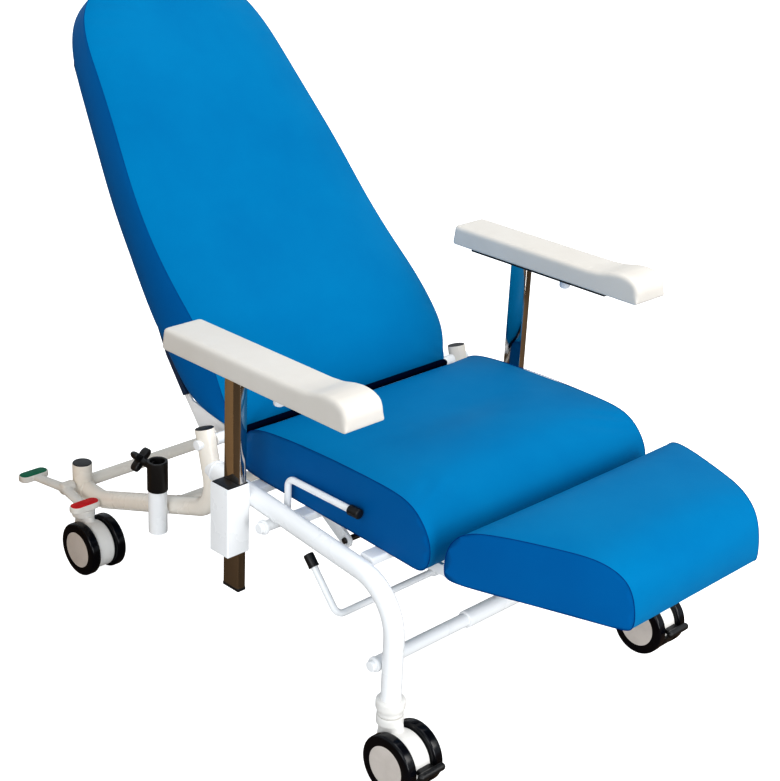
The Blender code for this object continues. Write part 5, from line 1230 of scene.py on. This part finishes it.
# Legrest: a navy board with hinge ears under a tapered foam block in the blue cloth, narrower at
# the feet. It turns on bolts in two brackets below the front of the seat, and its side panels are
# sewn in as on the seat.
LEGREST_UNDER = 0.340
LEGREST_REAR = -0.4015
LEGREST_LENGTH = 0.2605
LEGREST_END_HALF_WIDTH = 0.153
LEGREST_BOARD_INSET = 0.026
LEGREST_BOARD_FRONT = -0.636
LEGREST_BOARD_REAR = -0.428
LEGREST_BOARD_RECESS = 0.0125
LEGREST_LIFT_REACH = 0.065
LEGREST_NOSE = -0.62
LEGREST_NOSE_RISE = 0.03
# The rear corners stand back a little at the side panels
CORNER_STEP = 0.005
CORNER_REACH = 0.012
# Side view of the legrest: forward place and height over the underside
LEGREST_SIDE = (
    (LEGREST_REAR, 0.010),
    (-0.4100, 0.001),
    (-0.5200, 0.000),
    (-0.6460, -0.004),
    (-0.6650, -0.004),
    (-0.6640, 0.032),
    (-0.6540, 0.068),
    (-0.6320, 0.086),
    (-0.6020, 0.0960),
    (-0.5600, 0.0970),
    (-0.4900, 0.0965),
    (-0.4400, 0.092),
    (-0.4180, 0.082),
    (-0.4040, 0.058),
)


def legrest_half(y):
    """Half width, as wide as the seat at the rear and narrower at the feet."""
    return SEAT_HALF_WIDTH + (LEGREST_REAR - y) / LEGREST_LENGTH * (LEGREST_END_HALF_WIDTH - SEAT_HALF_WIDTH)


def legrest_ring(share):
    """Side view of the legrest at a share of its half width, crowned towards the middle."""
    ring = []
    lift = PANEL_LIFT * (1.0 - share**4)
    for y, height in LEGREST_SIDE:
        top = max(0.0, height - LIFT_START) / LEGREST_LIFT_REACH
        out = max(0.0, (LEGREST_NOSE - y) / NOSE_REACH) * min(1.0, height / LEGREST_NOSE_RISE)
        back = CORNER_STEP * max(0.0, 1.0 - abs(y - LEGREST_REAR) / CORNER_REACH) * (abs(share) > SIDE_SHARE)
        z = LEGREST_UNDER + height + lift * top
        ring.append(Vector((share * legrest_half(y), y - lift * out + back, z)))
    return ring


leg_padding, leg_seams = stuffed(
    "legrest_pad",
    skin_of([legrest_ring(share) for share in SEAT_SHARES], panel_ends),
    0.007,
    lambda spot: spot.z < LEGREST_UNDER + HELD,
)
# The board lies in a recess of the underside
for corner in leg_padding.vertices:
    x, y, z = corner.co
    between_sides = abs(x) < legrest_half(y) - LEGREST_BOARD_INSET
    if z < LEGREST_UNDER + HELD and between_sides and LEGREST_BOARD_FRONT < y < LEGREST_BOARD_REAR:
        corner.co.z += LEGREST_BOARD_RECESS
covered("legrest_pad", leg_padding, "legrest", "legrest_cushion")
seam_thread("legrest_seams", leg_seams, "legrest")
dressed("legrest_frame", NAVY_BOARD, "legrest", 0.0006)

# Release levers: bent round bar of 11 mm, enamelled white, with black push-on grips. One turns on
# its bolt at the right rail and frees the back, the other in a bracket and frees the legrest.


def grip(work, start, end, radius=0.0083):
    """Add a push-on grip with a rounded end and a lip."""
    start = Vector(start)
    way = Vector(end) - start
    profile = (
        (0.0, 0.0),
        (radius, 0.0),
        (radius + 0.0006, 0.0012),
        (radius, 0.003),
        (radius, way.length),
        (0.0, way.length + 0.001),
    )
    turned(work, profile, 0.0022, start, way.normalized(), 40)


LEVER_RADIUS = 0.0057
LEVER_X = -0.2705
LEVER_TOP = 0.389
LEVER_TIP_Y = -0.233
back_lever = bmesh.new()
bent_tube(
    back_lever,
    (
        (LEVER_X, LEVER_PIVOT.y, LEVER_PIVOT.z + 0.011),
        (LEVER_X, LEVER_PIVOT.y, LEVER_TOP),
        (LEVER_X, LEVER_TIP_Y + 0.004, LEVER_TOP),
    ),
    (0.014,), LEVER_RADIUS, 28,
)
hub_side = ((0.0094, -0.006), (0.014, -0.006), (0.014, 0.006), (0.0094, 0.006))
turned(back_lever, hub_side, 0.0008, (LEVER_X, LEVER_PIVOT.y, LEVER_PIVOT.z), X_AXIS, 48, 3, True)
piece("back_lever_rod", back_lever, WHITE_ENAMEL, "back_lever", ("back_lever",))
back_grip = bmesh.new()
grip(back_grip, (LEVER_X, LEVER_TIP_Y + 0.019, LEVER_TOP), (LEVER_X, LEVER_TIP_Y - 0.002, LEVER_TOP))
piece("back_lever_grip", back_grip, BLACK_MOULDING, "back_lever")
LEG_LEVER = Vector((-0.303, -0.2283, 0.2240))
LEG_RISE = math.radians(48.0)
leg_way = Vector((0.0, math.cos(LEG_RISE), math.sin(LEG_RISE)))
leg_lever = bmesh.new()
bent_tube(
    leg_lever,
    ((-0.070, LEG_LEVER.y, LEG_LEVER.z), LEG_LEVER, LEG_LEVER + leg_way * 0.100),
    (0.014,), LEVER_RADIUS, 28,
)
piece("leg_lever_rod", leg_lever, WHITE_ENAMEL, "leg_lever", ("leg_lever",))
leg_grip = bmesh.new()
grip(leg_grip, LEG_LEVER + leg_way * 0.082, LEG_LEVER + leg_way * 0.1040)
piece("leg_lever_grip", leg_grip, BLACK_MOULDING, "leg_lever")

# Arms: a white square sleeve welded to the rail, a chromed flat post with a black foot sliding in a
# black guide, a black plate with an inner ledge, and an ivory foam pad on it with a raised front.
# A white button under the pad frees the post.
IVORY_SKIN = finish(
    "ivory_skin", "ivory_foam", (214, 209, 202), (206, 200, 192), 7.0, (0.42, 0.52), (1300.0, 0.8, 0.0002)
)
BUTTON_WHITE = finish(
    "button_white", "white_plastic", (230, 232, 236), (220, 222, 227), 30.0, (0.3, 0.42),
    (1500.0, 0.6, 0.0001),
)
LEDGE_FRONT = -0.228
LEDGE_REAR = 0.075
SLEEVE_WELD_FOOT = 0.335
SLEEVE_WELD_TOP = 0.362
# Side view of a pad: forward place and height over its underside, with the raised nose in front
PAD_SIDE = eased(
    (
        (0.119, 0.000),
        (0.119, 0.0355),
        (-0.190, 0.0355),
        (-0.215, 0.0375),
        (-0.238, 0.0430),
        (-0.256, 0.0450),
        (-0.274, 0.0432),
        (-0.290, 0.0360),
        (-0.2965, 0.022),
        (-0.2965, 0.000),
    ),
    0.006, 4, True,
)
for side, sign in SIDES:
    body = "arm_" + side
    dressed("arm_sleeve_" + side, WHITE_ENAMEL, "frame", 0.0012)
    low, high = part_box("sleeve_guide_" + side)
    post_low, post_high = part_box("arm_post_" + side)
    room = 0.0003
    guide = bmesh.new()
    for spot_low, spot_high in (
        ((low.x, low.y, low.z), (post_low.x - room, high.y, high.z)),
        ((post_high.x + room, low.y, low.z), (high.x, high.y, high.z)),
        ((low.x, low.y, low.z), (high.x, post_low.y - room, high.z)),
        ((low.x, post_high.y + room, low.z), (high.x, high.y, high.z)),
    ):
        block(guide, spot_low, spot_high, 0.0003, 2)
    piece("post_guide_" + side, guide, BLACK_MOULDING, "frame", ("sleeve_guide_" + side,))
    dressed("arm_post_" + side, CHROME_PLATE, body, 0.0006)
    dressed("arm_plate_" + side, BLACK_MOULDING, body, 0.0010)
    low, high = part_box("arm_plate_" + side)
    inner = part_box("arm_pad_" + side)[0 if sign > 0 else 1].x
    ledge = bmesh.new()
    block(
        ledge,
        (min(inner, low.x + 0.004), LEDGE_FRONT, low.z),
        (max(inner, high.x - 0.004), LEDGE_REAR, high.z),
        0.0010,
    )
    piece("plate_ledge_" + side, ledge, BLACK_MOULDING, body)
    foot = bmesh.new()
    block(
        foot,
        post_low - Vector((0.0002, 0.0002, 0.0006)),
        (post_high.x + 0.0002, post_high.y + 0.0002, post_low.z + 0.006),
        0.0016,
    )
    piece("post_foot_" + side, foot, BLACK_MOULDING, body)
    weld = bmesh.new()
    low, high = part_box("arm_sleeve_" + side)
    seam_x = low.x if sign > 0 else high.x
    for y in (low.y + 0.004, high.y - 0.004):
        round_bar(weld, (seam_x, y, SLEEVE_WELD_FOOT), (seam_x, y, SLEEVE_WELD_TOP), 0.0022, 16)
    piece("sleeve_weld_" + side, weld, WHITE_ENAMEL, "frame")
    low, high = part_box("arm_pad_" + side)
    pad_form = bmesh.new()
    outline = [(low.x - 0.002, y, low.z + height) for y, height in PAD_SIDE]
    raised(pad_form, outline, (high.x - low.x + 0.004, 0.0, 0.0))
    bmesh.ops.recalc_face_normals(pad_form, faces=pad_form.faces)
    flank = [line for line in pad_form.edges if abs(line.verts[0].co.x - line.verts[1].co.x) < 0.001]
    upper = [line for line in flank if min(corner.co.z for corner in line.verts) > low.z + 0.004]
    soften(pad_form, upper, 0.008, 4)
    pad = piece(
        "arm_pad_skin_" + side, moulded(pad_form, 0.0020, 5), IVORY_SKIN, body, ("arm_pad_" + side,), 60.0
    )
    low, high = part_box("arm_button_" + side)
    button = bmesh.new()
    radius = (high.x - low.x) / 2
    button_side = (
        (0.0, low.z - 0.008),
        (radius - 0.003, low.z - 0.008),
        (radius, low.z - 0.005),
        (radius, high.z),
        (0.0, high.z),
    )
    turned(button, button_side, 0.002, ((low.x + high.x) / 2, (low.y + high.y) / 2, 0.0), Z_AXIS, 40)
    piece("arm_button_cap_" + side, button, BUTTON_WHITE, "arm_button_" + side, ("arm_button_" + side,))

# Studio: a plain pale floor, four soft lights, a brown screen and the camera. The floor is lit to
# near white for the camera, and mirrors as dark brown so that the chrome keeps its contrast.
FLOOR_HALF = 60.0
SCREEN_HALF = 0.45


def studio_card(name, half, surface, place=Matrix()):
    """A flat square of the studio."""
    work = bmesh.new()
    bmesh.ops.create_grid(work, x_segments=2, y_segments=2, size=half, matrix=place)
    made = placed(name, as_mesh(name, work))
    made.data.materials.append(surface)
    return made


pale, pale_shader = material(
    "studio_pale", Base_Color=(0.62, 0.62, 0.62, 1.0), Roughness=0.9, Specular_IOR_Level=0.0
)
pale_tree = pale.node_tree
glow = add_node(pale_tree, "Emission", Strength=0.8)
seen = add_node(pale_tree, "LightPath")
only_seen = add_node(pale_tree, "MixShader")
brown = add_node(pale_tree, "BsdfDiffuse", Color=(0.15, 0.10, 0.06, 1.0))
mirrored = add_node(pale_tree, "MixShader")
sum_up = add_node(pale_tree, "AddShader")
wire(
    pale_tree,
    (pale_shader, "BSDF", sum_up, 0),
    (glow, "Emission", sum_up, 1),
    (seen, "Is Camera Ray", only_seen, "Fac"),
    (seen, "Is Glossy Ray", mirrored, "Fac"),
    (pale_shader, "BSDF", mirrored, 1),
    (brown, "BSDF", mirrored, 2),
    (mirrored, "Shader", only_seen, 1),
    (sum_up, "Shader", only_seen, 2),
    (only_seen, "Shader", pale_tree.nodes["Material Output"], "Surface"),
)
floor = studio_card("studio_floor", FLOOR_HALF, pale)

studio = bpy.data.worlds.new("studio")
bpy.context.scene.world = studio
studio.use_nodes = True
set_inputs(studio.node_tree.nodes["Background"], {"Color": (0.87, 0.94, 1.0, 1.0), "Strength": 0.62})
# The screen stands by the rear right of the chair, warms its tubes and is hidden from the camera
walnut = material("studio_walnut", Base_Color=(0.46, 0.28, 0.13, 1.0), Roughness=0.9)[0]
screen = studio_card(
    "studio_screen", SCREEN_HALF, walnut,
    Matrix.Translation((-0.72, 0.78, 0.40)) @ Matrix.Rotation(math.radians(90.0), 4, "Y"),
)
screen.visible_camera = False


def soft_light(name, place, target, size, power, colour=(1.0, 1.0, 1.0)):
    """A square soft box at a place, turned to a target."""
    lamp = bpy.data.lights.new(name, "AREA")
    lamp.energy = power
    lamp.size = size
    lamp.color = colour
    holder = placed(name, lamp)
    holder.location = place
    aim = Vector(target) - Vector(place)
    holder.rotation_euler = aim.to_track_quat("-Z", "Y").to_euler()


soft_light("overhead_box", (0.5, -0.5, 3.0), (0.0, 0.0, 0.3), 1.8, 32.0, (1.0, 0.97, 0.93))
soft_light("front_box", (1.2, -3.0, 1.9), (0.0, 0.0, 0.4), 1.4, 39.0, (1.0, 0.98, 0.95))
soft_light("low_box", (-0.7, -3.0, 0.8), (0.0, 0.0, 0.3), 1.2, 25.0)
soft_light("left_box", (-6.0, -2.6, 3.2), (0.0, 0.0, 0.6), 2.4, 95.0)

CAMERA_PLACE = Vector((-1.81182, -1.78248, 1.51670))
CAMERA_YAW = -0.7999
CAMERA_PITCH = 0.4002
CAMERA_ROLL = 0.0491
CAMERA_LENS = 75.502
level = Vector((math.cos(CAMERA_YAW), math.sin(CAMERA_YAW), 0.0))
ahead = Vector(
    (
        -math.sin(CAMERA_YAW) * math.cos(CAMERA_PITCH),
        math.cos(CAMERA_YAW) * math.cos(CAMERA_PITCH),
        -math.sin(CAMERA_PITCH),
    )
)
upward = level.cross(ahead)
right = math.cos(CAMERA_ROLL) * level + math.sin(CAMERA_ROLL) * upward
upright = -math.sin(CAMERA_ROLL) * level + math.cos(CAMERA_ROLL) * upward
camera_data = bpy.data.cameras.new("photo_camera")
camera_data.sensor_fit = "HORIZONTAL"
camera_data.sensor_width = 36.0
camera_data.lens = CAMERA_LENS
camera_data.clip_end = 60.0
camera = placed("photo_camera", camera_data)
camera.matrix_world = Matrix((
    (right.x, upright.x, -ahead.x, CAMERA_PLACE.x),
    (right.y, upright.y, -ahead.y, CAMERA_PLACE.y),
    (right.z, upright.z, -ahead.z, CAMERA_PLACE.z),
    (0.0, 0.0, 0.0, 1.0),
))
bpy.context.scene.camera = camera
bpy.context.scene.view_settings.view_transform = "Standard"
bpy.context.scene.view_settings.look = "Medium High Contrast"
